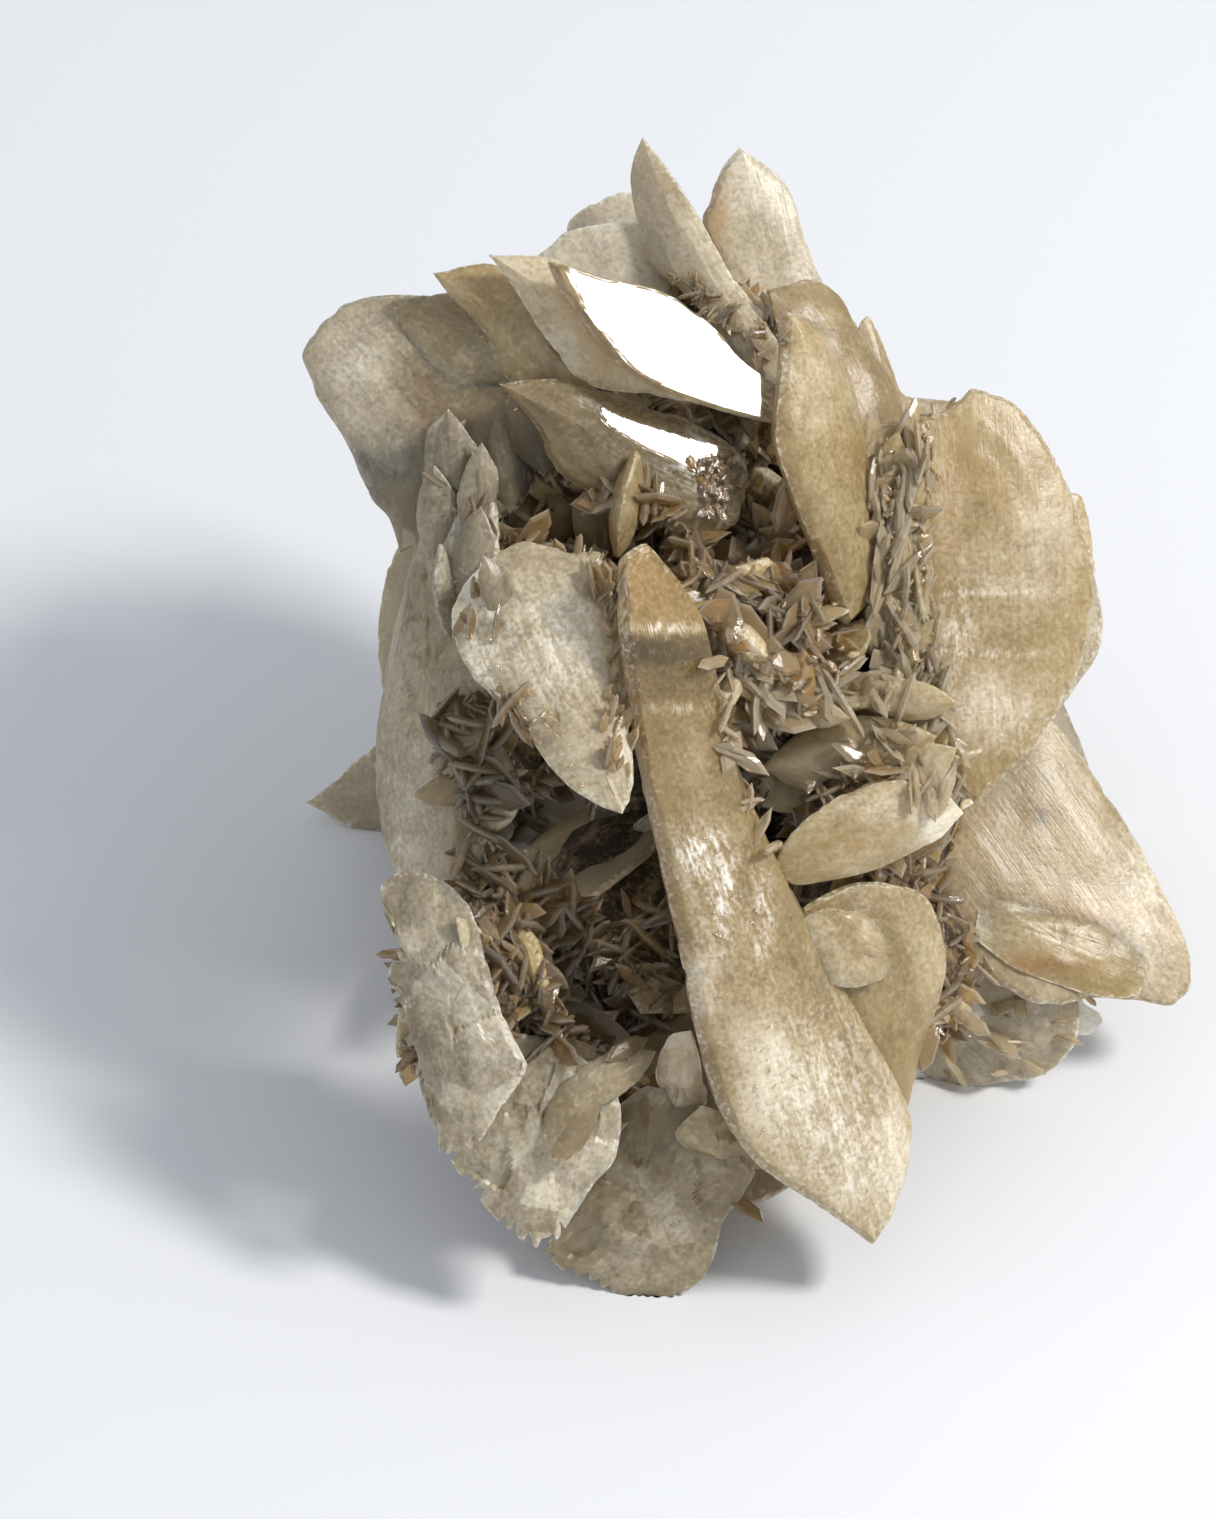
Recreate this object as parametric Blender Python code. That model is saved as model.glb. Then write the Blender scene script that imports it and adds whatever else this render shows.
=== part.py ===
"""Desert rose selenite: a cluster of lens-shaped gypsum blades grown through each other.

The blades that are seen from the front are drawn on a sheet that leans back like the
cluster's open face. On it u runs right, v up the sheet and w out of it towards the onlooker.
The blades round the back and underneath are placed by their middle and three angles.
Every blade, the druse of small crystals between them and the rosettes that they are rooted
in are fused into one solid, which is cut level where it stands. Lengths are in millimetres.
"""
import math
import random

import bmesh
import bpy
from mathutils import Matrix, Vector

MM = 0.001

# Driving dimensions of the whole cluster
SHEET_LEAN = 42.0               # degrees that the sheet's normal rises above level
SHEET_ORIGIN = (0.0, 0.0, 27.0)  # where u = v = w = 0 lies, before the cluster is set down
SET_DOWN = (0.10, -1.47, -0.8)  # moves the cluster over the origin and its feet into the floor
FLOOR_CUTTER_SIZE = 120.0

# Section of a large blade
FACE_REACH = 0.80               # how far out the nearly flat face goes, middle 0, edge 1
FACE_HEIGHT = 0.80              # thickness left there, as a part of the middle thickness
THIN = 1.9                      # a blade no thicker than this has no bevels

# Outline of a blade round the back
LEAF_SIDES = 12                 # corners
LEAF_PINCH = 0.3                # how much the sides draw in towards the points
LEAF_UNEVEN = (0.90, 1.06)      # how far a corner lies off the even lens, as a part of its reach

# Rosettes: balls of crossing blades
CHANCE_SEED = 11
KERNEL = 0.75                   # size of the solid middle as a part of the rosette
ROSETTE_SIDES = 5
ROSETTE_WIDE = (0.60, 0.85)     # width as a part of the length
ROSETTE_THICK = (3.0, 5.0)

# Druse: the small crystals between the blades
DRUSE_SIDES = 5
DRUSE_LONG = (4.5, 8.0)
DRUSE_WIDE = (2.2, 4.0)
DRUSE_THICK = (0.9, 1.5)
DRUSE_SPREAD = 0.7              # how far the crystals lean away from straight out
DRUSE_DEPTH = 0.70              # how far out in the rosette they are rooted

SELENITE_COLOUR = (0.56, 0.44, 0.29, 1.0)
SELENITE_ROUGHNESS = 0.32
SELENITE_INDEX = 1.52


def fan():
    """Stepped blades fanned over each other at the top left."""
    return [
        dict(name="fan_broad", out=4.0, turn=-10, tip=5, thick=3.4, outline=[
            (-27.6, 21.4), (-26.7, 18.9), (-25.0, 16.3), (-23.1, 12.5), (-19.7, 9.7), (-14.0, 11.9),
            (-12.5, 17.5), (-15.3, 23.1), (-19.8, 25.0), (-23.1, 25.1), (-25.0, 24.6), (-26.4, 23.4)]),
        dict(name="fan_step", out=5.2, turn=-8, tip=5, thick=2.6, outline=[
            (-22.1, 24.8), (-21.3, 22.8), (-20.0, 20.8), (-18.1, 19.0), (-15.3, 19.3), (-11.6, 17.5),
            (-11.6, 22.5), (-16.6, 25.2), (-19.7, 25.1)]),
        dict(name="fan_under_left", out=4.5, turn=-20, tip=0, thick=1.9, outline=[
            (-24.7, 15.9), (-23.9, 14.1), (-23.3, 12.5), (-22.1, 11.1), (-21.4, 9.1), (-20.0, 10.0),
            (-19.1, 12.5), (-19.1, 16.3), (-21.6, 17.5)]),
        dict(name="fan_second", out=7.0, turn=0, tip=5, thick=2.8, outline=[
            (-19.5, 26.4), (-18.3, 24.9), (-17.2, 23.8), (-16.1, 22.5), (-15.6, 21.1), (-14.7, 19.7),
            (-12.8, 18.8), (-9.1, 18.8), (-10.3, 21.9), (-12.8, 25.6), (-15.6, 26.9), (-17.2, 26.8)]),
        dict(name="fan_third", out=8.8, turn=10, tip=5, thick=2.8, outline=[
            (-16.0, 27.4), (-15.3, 26.6), (-14.2, 25.0), (-13.1, 23.1), (-11.7, 21.3), (-10.6, 19.7),
            (-9.1, 19.1), (-6.6, 18.8), (-2.8, 18.1), (-4.1, 20.6), (-7.8, 25.0), (-11.6, 27.0),
            (-13.4, 27.3)]),
        dict(name="fan_mirror", out=10.4, turn=21, tip=12.5, thick=2.6, outline=[
            (-12.3, 26.8), (-11.6, 25.3), (-9.7, 22.5), (-7.5, 20.0), (-5.3, 18.8), (-0.9, 17.5),
            (2.6, 16.8), (2.7, 18.6), (0.0, 20.5), (-2.1, 22.9), (-5.0, 25.0), (-9.1, 25.9)]),
        dict(name="fan_lower", out=7.6, turn=12, tip=-5, thick=3.2, outline=[
            (-15.3, 19.4), (-13.1, 16.9), (-11.9, 14.3), (-9.3, 12.4), (-6.6, 11.3), (-2.8, 10.0),
            (-0.6, 10.9), (0.0, 13.1), (-0.2, 15.0), (-3.4, 17.2), (-8.4, 18.8), (-11.6, 19.7)]),
        dict(name="fan_under", out=7.0, turn=0, tip=0, thick=1.4, outline=[
            (-14.8, 18.8), (-14.8, 16.3), (-14.1, 15.0), (-12.5, 13.8), (-11.0, 15.5), (-12.0, 18.5)]),
    ]


def crown():
    """Upright blades along the top edge."""
    return [
        dict(name="top_spike", out=0.5, turn=-28, tip=5, thick=2.4, outline=[
            (-6.4, 35.4), (-6.9, 34.1), (-7.1, 32.4), (-6.6, 29.7), (-5.9, 27.4), (-3.4, 25.0),
            (-0.9, 21.2), (4.5, 15.0), (2.4, 21.5), (0.0, 25.0), (-1.9, 28.4), (-4.1, 32.2)]),
        dict(name="top_right", out=-8.5, turn=10, tip=0, thick=2.6, outline=[
            (-0.2, 35.1), (-1.3, 33.8), (-2.1, 31.9), (-2.6, 30.3), (-1.6, 27.5), (0.3, 20.4),
            (3.4, 12.0), (6.6, 20.4), (5.3, 25.9), (4.6, 27.6), (3.8, 29.7), (3.4, 31.3), (2.5, 33.0)]),
        dict(name="top_left", out=-3.0, turn=-5, tip=5, thick=2.0, outline=[
            (-13.8, 27.4), (-12.5, 22.5), (-9.0, 19.5), (-5.0, 20.5), (-4.0, 26.0), (-6.6, 30.1),
            (-9.1, 29.9), (-11.1, 29.5), (-12.8, 28.1)]),
        dict(name="top_left_back", out=-7.0, turn=-5, tip=5, thick=1.9, outline=[
            (-11.2, 29.5), (-10.8, 26.0), (-9.0, 22.0), (-5.0, 22.0), (-3.5, 28.0), (-5.0, 32.0),
            (-7.1, 32.3), (-8.9, 31.8), (-10.9, 30.5)]),
        dict(name="crest", out=1.0, turn=25, tip=10, thick=2.4, outline=[
            (1.3, 25.5), (2.2, 22.5), (4.7, 16.8), (7.8, 13.9), (10.0, 16.2), (9.7, 19.1), (8.1, 21.6),
            (6.6, 24.1), (5.2, 26.0), (3.4, 26.2)]),
        dict(name="crest_back", out=-4.0, turn=20, tip=0, thick=1.6, outline=[
            (7.3, 23.9), (6.5, 20.0), (9.5, 10.5), (12.5, 12.0), (11.3, 18.8), (10.0, 19.3),
            (9.3, 20.9), (8.4, 23.1), (7.8, 24.2)]),
    ]


def right_side():
    """The round disc, the pale wing below it and the ledges at its foot."""
    return [
        dict(name="spindle", out=7.6, turn=45, tip=0, thick=3.4, outline=[
            (2.3, 23.8), (2.0, 19.7), (1.7, 16.0), (2.7, 12.7), (3.9, 9.7), (5.1, 6.9), (6.1, 4.6),
            (7.6, 6.1), (7.7, 9.7), (7.5, 12.9), (7.3, 15.4), (6.8, 17.8), (5.8, 21.0), (3.4, 23.6)]),
        dict(name="disc", out=4.0, turn=10, tip=0, thick=3.0, outline=[
            (12.2, 17.9), (7.7, 16.8), (7.1, 12.5), (7.3, 6.9), (8.8, 0.6), (11.6, -4.4), (14.2, -6.4),
            (15.9, -4.9), (18.1, -2.6), (20.0, 0.2), (21.4, 4.1), (21.7, 7.5), (20.8, 11.3),
            (19.4, 14.6), (17.8, 17.2), (16.3, 18.6), (13.9, 19.3)]),
        dict(name="disc_behind", out=-6.0, turn=10, tip=0, thick=1.9, outline=[
            (20.2, 13.3), (15.5, 12.0), (14.5, 8.0), (18.5, 5.2), (21.7, 6.9), (22.3, 9.1), (21.3, 13.0)]),
        dict(name="wing", out=-8.0, turn=15, tip=10, thick=2.6, outline=[
            (19.4, -1.1), (15.5, -2.5), (12.5, -7.0), (12.0, -13.0), (15.5, -17.5), (19.0, -19.3),
            (22.2, -18.8), (25.3, -19.1), (27.2, -19.3), (28.4, -18.1), (28.4, -16.3), (27.2, -13.1),
            (25.3, -9.4), (23.1, -5.9), (21.1, -3.0)]),
        dict(name="wing_under", out=-6.5, turn=15, tip=10, thick=1.6, outline=[
            (15.0, -12.6), (14.5, -14.8), (16.5, -16.6), (19.7, -17.9), (22.8, -18.8), (25.0, -18.6),
            (25.5, -16.5), (24.0, -14.2), (21.0, -13.1), (18.4, -12.4)]),
        dict(name="ledge", out=-10.0, turn=10, tip=0, thick=1.8, outline=[
            (9.2, -17.1), (10.8, -20.6), (16.0, -20.9), (19.0, -21.9), (21.3, -21.8), (23.0, -20.4),
            (22.3, -18.9), (19.7, -18.1), (16.0, -15.8)]),
        dict(name="ledge_base", out=-12.7, turn=5, tip=0, thick=2.0, outline=[
            (9.0, -20.9), (10.9, -24.1), (15.9, -24.1), (17.8, -23.3), (18.8, -22.4), (16.6, -19.3),
            (12.4, -17.9)]),
    ]


def front():
    """The long honey-coloured blade across the front and the plates beside it."""
    return [
        dict(name="front", out=11.0, turn=30, tip=-4, thick=4.0, outline=[
            (-6.3, 9.5), (-7.7, 8.6), (-7.7, 3.8), (-6.8, -2.5), (-5.6, -8.8), (-4.2, -15.6),
            (-2.8, -21.9), (-1.4, -25.8), (0.6, -28.6), (4.4, -31.3), (7.8, -33.8), (9.3, -31.3),
            (10.1, -26.3), (7.2, -20.3), (3.8, -13.8), (0.3, -6.9), (-2.1, -0.6), (-3.4, 5.6)]),
        dict(name="front_back", out=6.5, turn=25, tip=-10, thick=2.2, outline=[
            (3.4, -12.8), (3.8, -16.0), (5.5, -20.0), (7.5, -24.5), (10.0, -25.6), (10.8, -21.9),
            (11.4, -20.3), (12.1, -18.1), (12.4, -16.3), (12.1, -14.4), (11.3, -12.5), (10.0, -11.6),
            (6.6, -11.3)]),
        dict(name="slab", out=10.5, turn=10, tip=-15, thick=2.0, outline=[
            (1.7, -10.5), (2.8, -11.4), (5.3, -11.1), (7.8, -10.5), (10.0, -9.5), (12.2, -8.4),
            (13.3, -7.0), (11.6, -5.3), (9.0, -5.0), (6.5, -5.5), (4.0, -7.0), (2.2, -8.8)]),
        dict(name="slab_small", out=9.6, turn=15, tip=-10, thick=1.9, outline=[
            (3.4, -13.4), (3.4, -15.3), (4.1, -17.2), (6.6, -17.8), (8.1, -17.4), (8.8, -16.4),
            (8.6, -14.7), (7.5, -13.4), (5.3, -12.8)]),
        dict(name="needle", out=7.0, turn=0, tip=55, thick=1.6, outline=[
            (-0.9, -0.3), (0.9, -1.6), (4.7, -0.8), (8.4, -0.3), (11.6, 0.0), (8.4, 1.1), (1.6, 0.6)]),
        dict(name="leaf", out=6.0, turn=-45, tip=30, thick=1.6, outline=[
            (3.0, 0.5), (1.0, -1.5), (5.3, 0.4), (6.6, 1.9), (7.7, 3.8), (7.3, 5.0), (5.2, 4.1)]),
    ]


def left_side():
    """The blades round the dark hollow: its wall, its shoulder and the tips behind."""
    return [
        dict(name="shoulder", out=14.0, turn=-5, tip=20, thick=2.6, outline=[
            (-18.1, 5.5), (-18.1, 4.1), (-17.5, 2.5), (-16.3, 0.6), (-14.7, -0.8), (-13.4, -2.5),
            (-11.9, -4.4), (-10.3, -5.9), (-7.6, -7.2), (-7.0, -5.0), (-7.5, 0.0), (-8.0, 5.0),
            (-9.0, 9.0), (-11.5, 9.2), (-14.1, 9.6), (-16.6, 7.9), (-17.8, 6.3)]),
        dict(name="left_wall", out=6.5, turn=-40, tip=0, thick=3.4, outline=[
            (-18.6, 17.7), (-19.6, 16.8), (-19.4, 13.1), (-20.6, 8.8), (-21.6, 5.0), (-22.6, 0.0),
            (-22.9, -4.4), (-22.2, -9.4), (-20.3, -12.5), (-17.2, -11.3), (-15.3, -6.3), (-15.3, 0.0),
            (-15.3, 6.3), (-15.3, 10.6), (-16.1, 14.4), (-17.2, 16.4)]),
        dict(name="left_behind", out=-30.0, turn=0, tip=0, thick=2.0, outline=[
            (-28.6, -6.6), (-27.5, -7.1), (-25.6, -8.1), (-20.5, -8.8), (-10.0, -8.6), (-9.0, 0.5),
            (-20.5, -0.4), (-24.7, -3.4), (-26.6, -5.1)]),
        dict(name="left_behind_middle", out=-10.0, turn=-10, tip=0, thick=1.9, outline=[
            (-21.6, 10.3), (-22.4, 8.9), (-22.9, 6.9), (-23.2, 3.8), (-22.9, 0.6), (-20.5, -1.0),
            (-15.0, 0.0), (-15.0, 9.0)]),
    ]


def skirt():
    """The curved rim of plates from the lower left to the tip that the cluster stands on."""
    return [
        dict(name="skirt_left", out=11.0, turn=-15, tip=-5, thick=2.8, outline=[
            (-21.7, -10.6), (-22.6, -11.8), (-22.1, -13.6), (-21.3, -15.0), (-22.0, -16.6),
            (-21.7, -18.8), (-20.8, -21.6), (-19.8, -24.7), (-18.8, -28.1), (-16.7, -27.4),
            (-15.0, -25.0), (-13.4, -22.6), (-14.4, -20.6), (-15.4, -18.1), (-16.1, -15.6),
            (-17.2, -12.5), (-19.7, -10.6)]),
        dict(name="skirt_middle", out=8.2, turn=-8, tip=-5, thick=2.8, outline=[
            (-18.4, -28.1), (-17.2, -30.0), (-15.3, -32.2), (-13.1, -33.8), (-11.8, -33.6),
            (-9.7, -30.3), (-8.0, -28.0), (-8.0, -24.0), (-11.0, -21.5), (-13.8, -20.6), (-16.3, -22.8)]),
        dict(name="skirt_front", out=4.2, turn=-5, tip=-20, thick=2.6, outline=[
            (-12.5, -34.4), (-11.3, -35.6), (-9.7, -36.1), (-7.8, -37.2), (-5.2, -37.6), (-2.8, -36.1),
            (-1.9, -34.4), (-1.4, -32.4), (0.0, -30.5), (0.8, -29.1), (-0.3, -28.1), (-2.8, -25.0),
            (-6.0, -23.8), (-9.0, -26.3), (-10.9, -30.6)]),
        dict(name="rim", out=9.3, turn=0, tip=15, thick=1.9, outline=[
            (-11.8, -23.4), (-12.3, -24.7), (-12.5, -26.9), (-11.6, -28.8), (-10.0, -27.5),
            (-8.8, -25.3), (-6.6, -23.4), (-5.5, -21.7), (-7.8, -21.5), (-9.7, -22.3)]),
        dict(name="amber_nub", out=7.6, turn=-15, tip=-40, thick=1.9, outline=[
            (-5.4, -21.9), (-5.6, -23.4), (-4.8, -25.0), (-4.6, -26.6), (-2.5, -25.0), (-2.8, -22.5),
            (-3.4, -20.3), (-4.7, -20.6)]),
        dict(name="grey_nub", out=6.6, turn=15, tip=-45, thick=1.9, outline=[
            (-4.4, -26.6), (-4.1, -27.5), (-2.8, -28.1), (-0.6, -29.1), (1.3, -29.1), (0.3, -28.1),
            (-1.3, -25.6), (-2.8, -25.0)]),
    ]


def hidden_blades():
    """Blades round the back and underneath. heading, rise and roll are degrees: the long axis
    points to heading about Z and rises from level, then the blade rolls about it."""
    return [
        dict(name="back_fan_1", at=(-9, 15, 31),
             heading=118, rise=22, roll=68, long=32, wide=25, thick=3.0),
        dict(name="back_fan_2", at=(-5, 18, 28),
             heading=106, rise=14, roll=74, long=29, wide=24, thick=2.6),
        dict(name="back_fan_3", at=(-1, 19, 31),
             heading=94, rise=26, roll=80, long=26, wide=19, thick=2.4),
        dict(name="back_disc", at=(11, 15, 23),
             heading=58, rise=4, roll=38, long=32, wide=26, thick=3.0),
        dict(name="back_cross", at=(1, 17, 33),
             heading=72, rise=30, roll=15, long=25, wide=18, thick=2.4),
        dict(name="back_right", at=(11, 13, 27),
             heading=45, rise=12, roll=72, long=24, wide=18, thick=2.4),
        dict(name="back_left", at=(-15, 12, 27),
             heading=140, rise=20, roll=58, long=24, wide=20, thick=2.6),
        dict(name="back_left_top", at=(-15, 14, 38),
             heading=140, rise=30, roll=24, long=22, wide=16, thick=2.2),
        dict(name="low_back", at=(3, 16, 9),
             heading=84, rise=-34, roll=12, long=28, wide=24, thick=2.8),
        dict(name="low_back_left", at=(-13, 14, 10),
             heading=146, rise=-34, roll=36, long=28, wide=20, thick=2.6),
        dict(name="low_back_right", at=(15, 11, 10),
             heading=40, rise=-34, roll=58, long=26, wide=20, thick=2.6),
        dict(name="low_left", at=(-12, 2, 10),
             heading=196, rise=-30, roll=28, long=24, wide=18, thick=2.4),
        dict(name="low_front", at=(0, -9, 8),
             heading=262, rise=-18, roll=8, long=28, wide=20, thick=2.6),
        dict(name="low_right", at=(13, -4, 7.8),
             heading=330, rise=-32, roll=64, long=20, wide=15, thick=2.4),
    ]


def rosettes():
    """Balls of crossing blades that the large blades are rooted in, as middle and half sizes
    on the sheet, with the number of blades that cross and of small crystals between them."""
    return [
        dict(name="heart", at=(0, 6, -6), half=(13, 11, 12), blades=4, crystals=3),
        dict(name="heart_top", at=(-2, 20, -4), half=(9, 7, 9), blades=2, crystals=1),
        dict(name="heart_fan", at=(-8, 15.5, 2), half=(8, 5, 7), blades=1, crystals=1),
        dict(name="heart_right", at=(9, -4, -6), half=(7, 13, 11), blades=3, crystals=3),
        dict(name="heart_front", at=(-1, 3, 5), half=(7, 8, 9), blades=4, crystals=6),
        dict(name="heart_disc", at=(13, 6, -2), half=(6, 9, 7), blades=1, crystals=1),
        dict(name="heart_slab", at=(7, -14, 2), half=(6, 7, 8), blades=2, crystals=2),
        dict(name="heart_low_right", at=(10, -16, -6), half=(6, 7, 8), blades=2, crystals=2),
        dict(name="heart_left", at=(-13, 3, -3), half=(8, 12, 10), blades=2, crystals=2),
        dict(name="heart_shoulder", at=(-12, 5, 6), half=(6, 6, 9), blades=2, crystals=2),
        dict(name="heart_low_left", at=(-16, -16.5, 4.5), half=(4.5, 9, 9), blades=2, crystals=3),
        dict(name="heart_low", at=(-11, -26, 2), half=(6, 5, 8), blades=1, crystals=2),
        dict(name="heart_back", at=(0, -3, -15), half=(15, 16, 11), blades=4, crystals=3),
        dict(name="heart_under", at=(-4, -14, -11), half=(13, 11, 8), blades=3, crystals=2),
        dict(name="heart_middle", at=(8, -5.5, 3), half=(6, 7, 6), blades=1, crystals=1),
    ]


def sheet_frame():
    """Turns places on the leaning sheet into places in the part's frame."""
    lean = math.radians(SHEET_LEAN)
    right = Vector((1, 0, 0))
    up = Vector((0, math.sin(lean), math.cos(lean)))
    out = Vector((0, -math.cos(lean), math.sin(lean)))
    frame = Matrix((right, up, out)).transposed().to_4x4()
    frame.translation = Vector(SHEET_ORIGIN) + Vector(SET_DOWN)
    return frame


def blade_frame(heading, rise, roll, at):
    """Turns a hidden blade's own places into places in the part's frame."""
    turn = Matrix.Rotation(math.radians(heading), 4, "Z")
    turn = turn @ Matrix.Rotation(math.radians(-rise), 4, "Y")
    turn = turn @ Matrix.Rotation(math.radians(roll), 4, "X")
    return Matrix.Translation(Vector(at) + Vector(SET_DOWN)) @ turn


def middle_of(outline):
    """Centre of area of a flat outline, and the area with its sign."""
    area = 0.0
    across = 0.0
    along = 0.0
    for (u0, v0), (u1, v1) in zip(outline, outline[1:] + outline[:1]):
        cross = u0 * v1 - u1 * v0
        area += cross / 2
        across += (u0 + u1) * cross / 6
        along += (v0 + v1) * cross / 6
    return across / area, along / area, area


def leaf_outline(long, wide, seed):
    """Lens outline pointed at both ends, with a slightly uneven edge."""
    chance = random.Random(seed)
    points = []
    for corner in range(LEAF_SIDES):
        angle = math.tau * corner / LEAF_SIDES
        pinch = abs(math.sin(angle)) ** LEAF_PINCH
        reach = chance.uniform(*LEAF_UNEVEN)
        points.append((long / 2 * math.cos(angle) * reach, wide / 2 * math.sin(angle) * pinch * reach))
    return points


def pressed_globe(name, rim, middle, normal, thick, frame, collection):
    """A blade: a globe of four bands pressed flat. Its equator becomes the blade's edge, its
    poles the two face middles, and the rings between them the start of the bevels, which a
    thin blade doesn't have."""
    mesh = bmesh.new()
    bands = 4 if thick > THIN else 2
    bmesh.ops.create_uvsphere(mesh, u_segments=len(rim), v_segments=bands, radius=1.0)
    for vert in mesh.verts:
        latitude = math.degrees(math.asin(max(-1.0, min(1.0, vert.co.z))))
        meridian = round(math.atan2(vert.co.y, vert.co.x) / math.tau * len(rim)) % len(rim)
        if round(abs(latitude)) == 90:
            reach, height = 0.0, 1.0
        elif round(latitude) == 0:
            reach, height = 1.0, 0.0
        else:
            reach, height = FACE_REACH, FACE_HEIGHT
        lift = normal * math.copysign(height * thick / 2, latitude)
        vert.co = middle + (rim[meridian] - middle) * reach + lift
    return keep_form(name, mesh, frame, collection)


def sheet_blade(spec, frame, collection):
    """A blade drawn on the sheet: out is its middle's distance from the sheet, turn and tip
    are the degrees that its face looks to the right and upwards."""
    outline = spec["outline"]
    u0, v0, area = middle_of(outline)
    if area < 0:
        outline = outline[::-1]
    turn = math.radians(spec["turn"])
    tip = math.radians(spec["tip"])
    normal = Vector((math.sin(turn) * math.cos(tip), math.sin(tip), math.cos(turn) * math.cos(tip)))
    middle = Vector((u0, v0, spec["out"]))
    rim = []
    for u, v in outline:
        drop = (normal.x * (u - u0) + normal.y * (v - v0)) / normal.z
        rim.append(Vector((u, v, spec["out"] - drop)))
    pressed_globe(spec["name"], rim, middle, normal, spec["thick"], frame, collection)


def hidden_blade(spec, seed, collection):
    """A lens-shaped blade placed by its middle and its three angles."""
    frame = blade_frame(spec["heading"], spec["rise"], spec["roll"], spec["at"])
    rim = [Vector((x, y, 0)) for x, y in leaf_outline(spec["long"], spec["wide"], seed)]
    pressed_globe(spec["name"], rim, Vector(), Vector((0, 0, 1)), spec["thick"], frame, collection)


def small_blade(name, size, middle, out, roll, sides, frame, collection):
    """A blade of two flat cones, base to base, with its long axis along out."""
    turn = out.to_track_quat("X", "Z").to_matrix().to_4x4() @ Matrix.Rotation(roll, 4, "X")
    half = [length / 2 for length in size]
    mesh = bmesh.new()
    bmesh.ops.create_uvsphere(mesh, u_segments=sides, v_segments=2, radius=1.0)
    bmesh.ops.transform(mesh, matrix=Matrix.Diagonal((*half, 1.0)), verts=mesh.verts)
    bmesh.ops.transform(mesh, matrix=Matrix.Translation(middle) @ turn, verts=mesh.verts)
    return keep_form(name, mesh, frame, collection)


def any_direction(chance):
    """A direction with no preference."""
    return Vector((chance.gauss(0, 1), chance.gauss(0, 1), chance.gauss(0, 1))).normalized()


def rosette(spec, frame, collection, chance):
    """Blades crossing at all angles through one middle, round a small solid one."""
    half = Vector(spec["half"])
    middle = Vector(spec["at"])
    kernel = bmesh.new()
    bmesh.ops.create_icosphere(kernel, subdivisions=1, radius=KERNEL)
    bmesh.ops.transform(kernel, matrix=Matrix.Diagonal((*half, 1.0)), verts=kernel.verts)
    bmesh.ops.translate(kernel, vec=middle, verts=kernel.verts)
    keep_form(spec["name"], kernel, frame, collection)
    for count in range(spec["blades"]):
        out = any_direction(chance)
        reach = Vector(o * h for o, h in zip(out, half)).length
        wide = reach * chance.uniform(*ROSETTE_WIDE)
        size = (2 * reach, 2 * wide, chance.uniform(*ROSETTE_THICK))
        name = f"{spec['name']}_blade_{count:02d}"
        small_blade(name, size, middle, out, chance.uniform(0, math.pi), ROSETTE_SIDES, frame, collection)


def druse_on(spec, frame, collection, chance):
    """Small crystals that stand out of one rosette in all directions."""
    half = Vector(spec["half"]) * DRUSE_DEPTH
    for count in range(spec["crystals"]):
        facing = any_direction(chance)
        foot = Vector(spec["at"]) + Vector(f * h for f, h in zip(facing, half))
        out = (facing + any_direction(chance) * DRUSE_SPREAD).normalized()
        size = [chance.uniform(*span) for span in (DRUSE_LONG, DRUSE_WIDE, DRUSE_THICK)]
        name = f"{spec['name']}_crystal_{count:02d}"
        small_blade(name, size, foot, out, chance.uniform(0, math.pi), DRUSE_SIDES, frame, collection)


def keep_form(name, mesh, frame, collection):
    """Stores a shape drawn in millimetres as an object in metres that is only built with."""
    bmesh.ops.transform(mesh, matrix=Matrix.Scale(MM, 4) @ frame, verts=mesh.verts)
    bmesh.ops.recalc_face_normals(mesh, faces=mesh.faces)
    data = bpy.data.meshes.new(name)
    mesh.to_mesh(data)
    mesh.free()
    form = bpy.data.objects.new(name, data)
    form.hide_render = True
    form.display_type = "WIRE"
    collection.objects.link(form)
    return form


def floor_cutter(collection):
    """Everything below the level that the cluster stands on."""
    mesh = bmesh.new()
    bmesh.ops.create_cube(mesh, size=FLOOR_CUTTER_SIZE)
    below = Matrix.Translation((0, 0, -FLOOR_CUTTER_SIZE / 2))
    return keep_form("floor_cutter", mesh, below, collection)


def selenite():
    """Honey-coloured, half-clear gypsum."""
    material = bpy.data.materials.new("selenite")
    material.use_nodes = True
    shader = material.node_tree.nodes["Principled BSDF"]
    shader.inputs["Base Color"].default_value = SELENITE_COLOUR
    shader.inputs["Roughness"].default_value = SELENITE_ROUGHNESS
    shader.inputs["Metallic"].default_value = 0.0
    shader.inputs["IOR"].default_value = SELENITE_INDEX
    material.diffuse_color = SELENITE_COLOUR
    return material


def fuse(forms, cutter):
    """Unites all forms with the heart and cuts the feet level. Returns a scratch object."""
    heart = forms.objects["heart"]
    fused = bpy.data.objects.new("fused", heart.data)
    bpy.data.objects.remove(heart)
    bpy.context.scene.collection.objects.link(fused)
    grown = fused.modifiers.new("grown_together", "BOOLEAN")
    grown.operation = "UNION"
    grown.operand_type = "COLLECTION"
    grown.collection = forms
    level = fused.modifiers.new("stands_level", "BOOLEAN")
    level.operation = "DIFFERENCE"
    level.object = cutter
    return fused


def islands(mesh):
    """The mesh's faces, sorted into groups that hang together."""
    waiting = set(mesh.faces)
    groups = []
    while waiting:
        reached = [waiting.pop()]
        group = []
        while reached:
            face = reached.pop()
            group.append(face)
            neighbours = {near for edge in face.edges for near in edge.link_faces} & waiting
            waiting -= neighbours
            reached.extend(neighbours)
        groups.append(group)
    return groups


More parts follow.
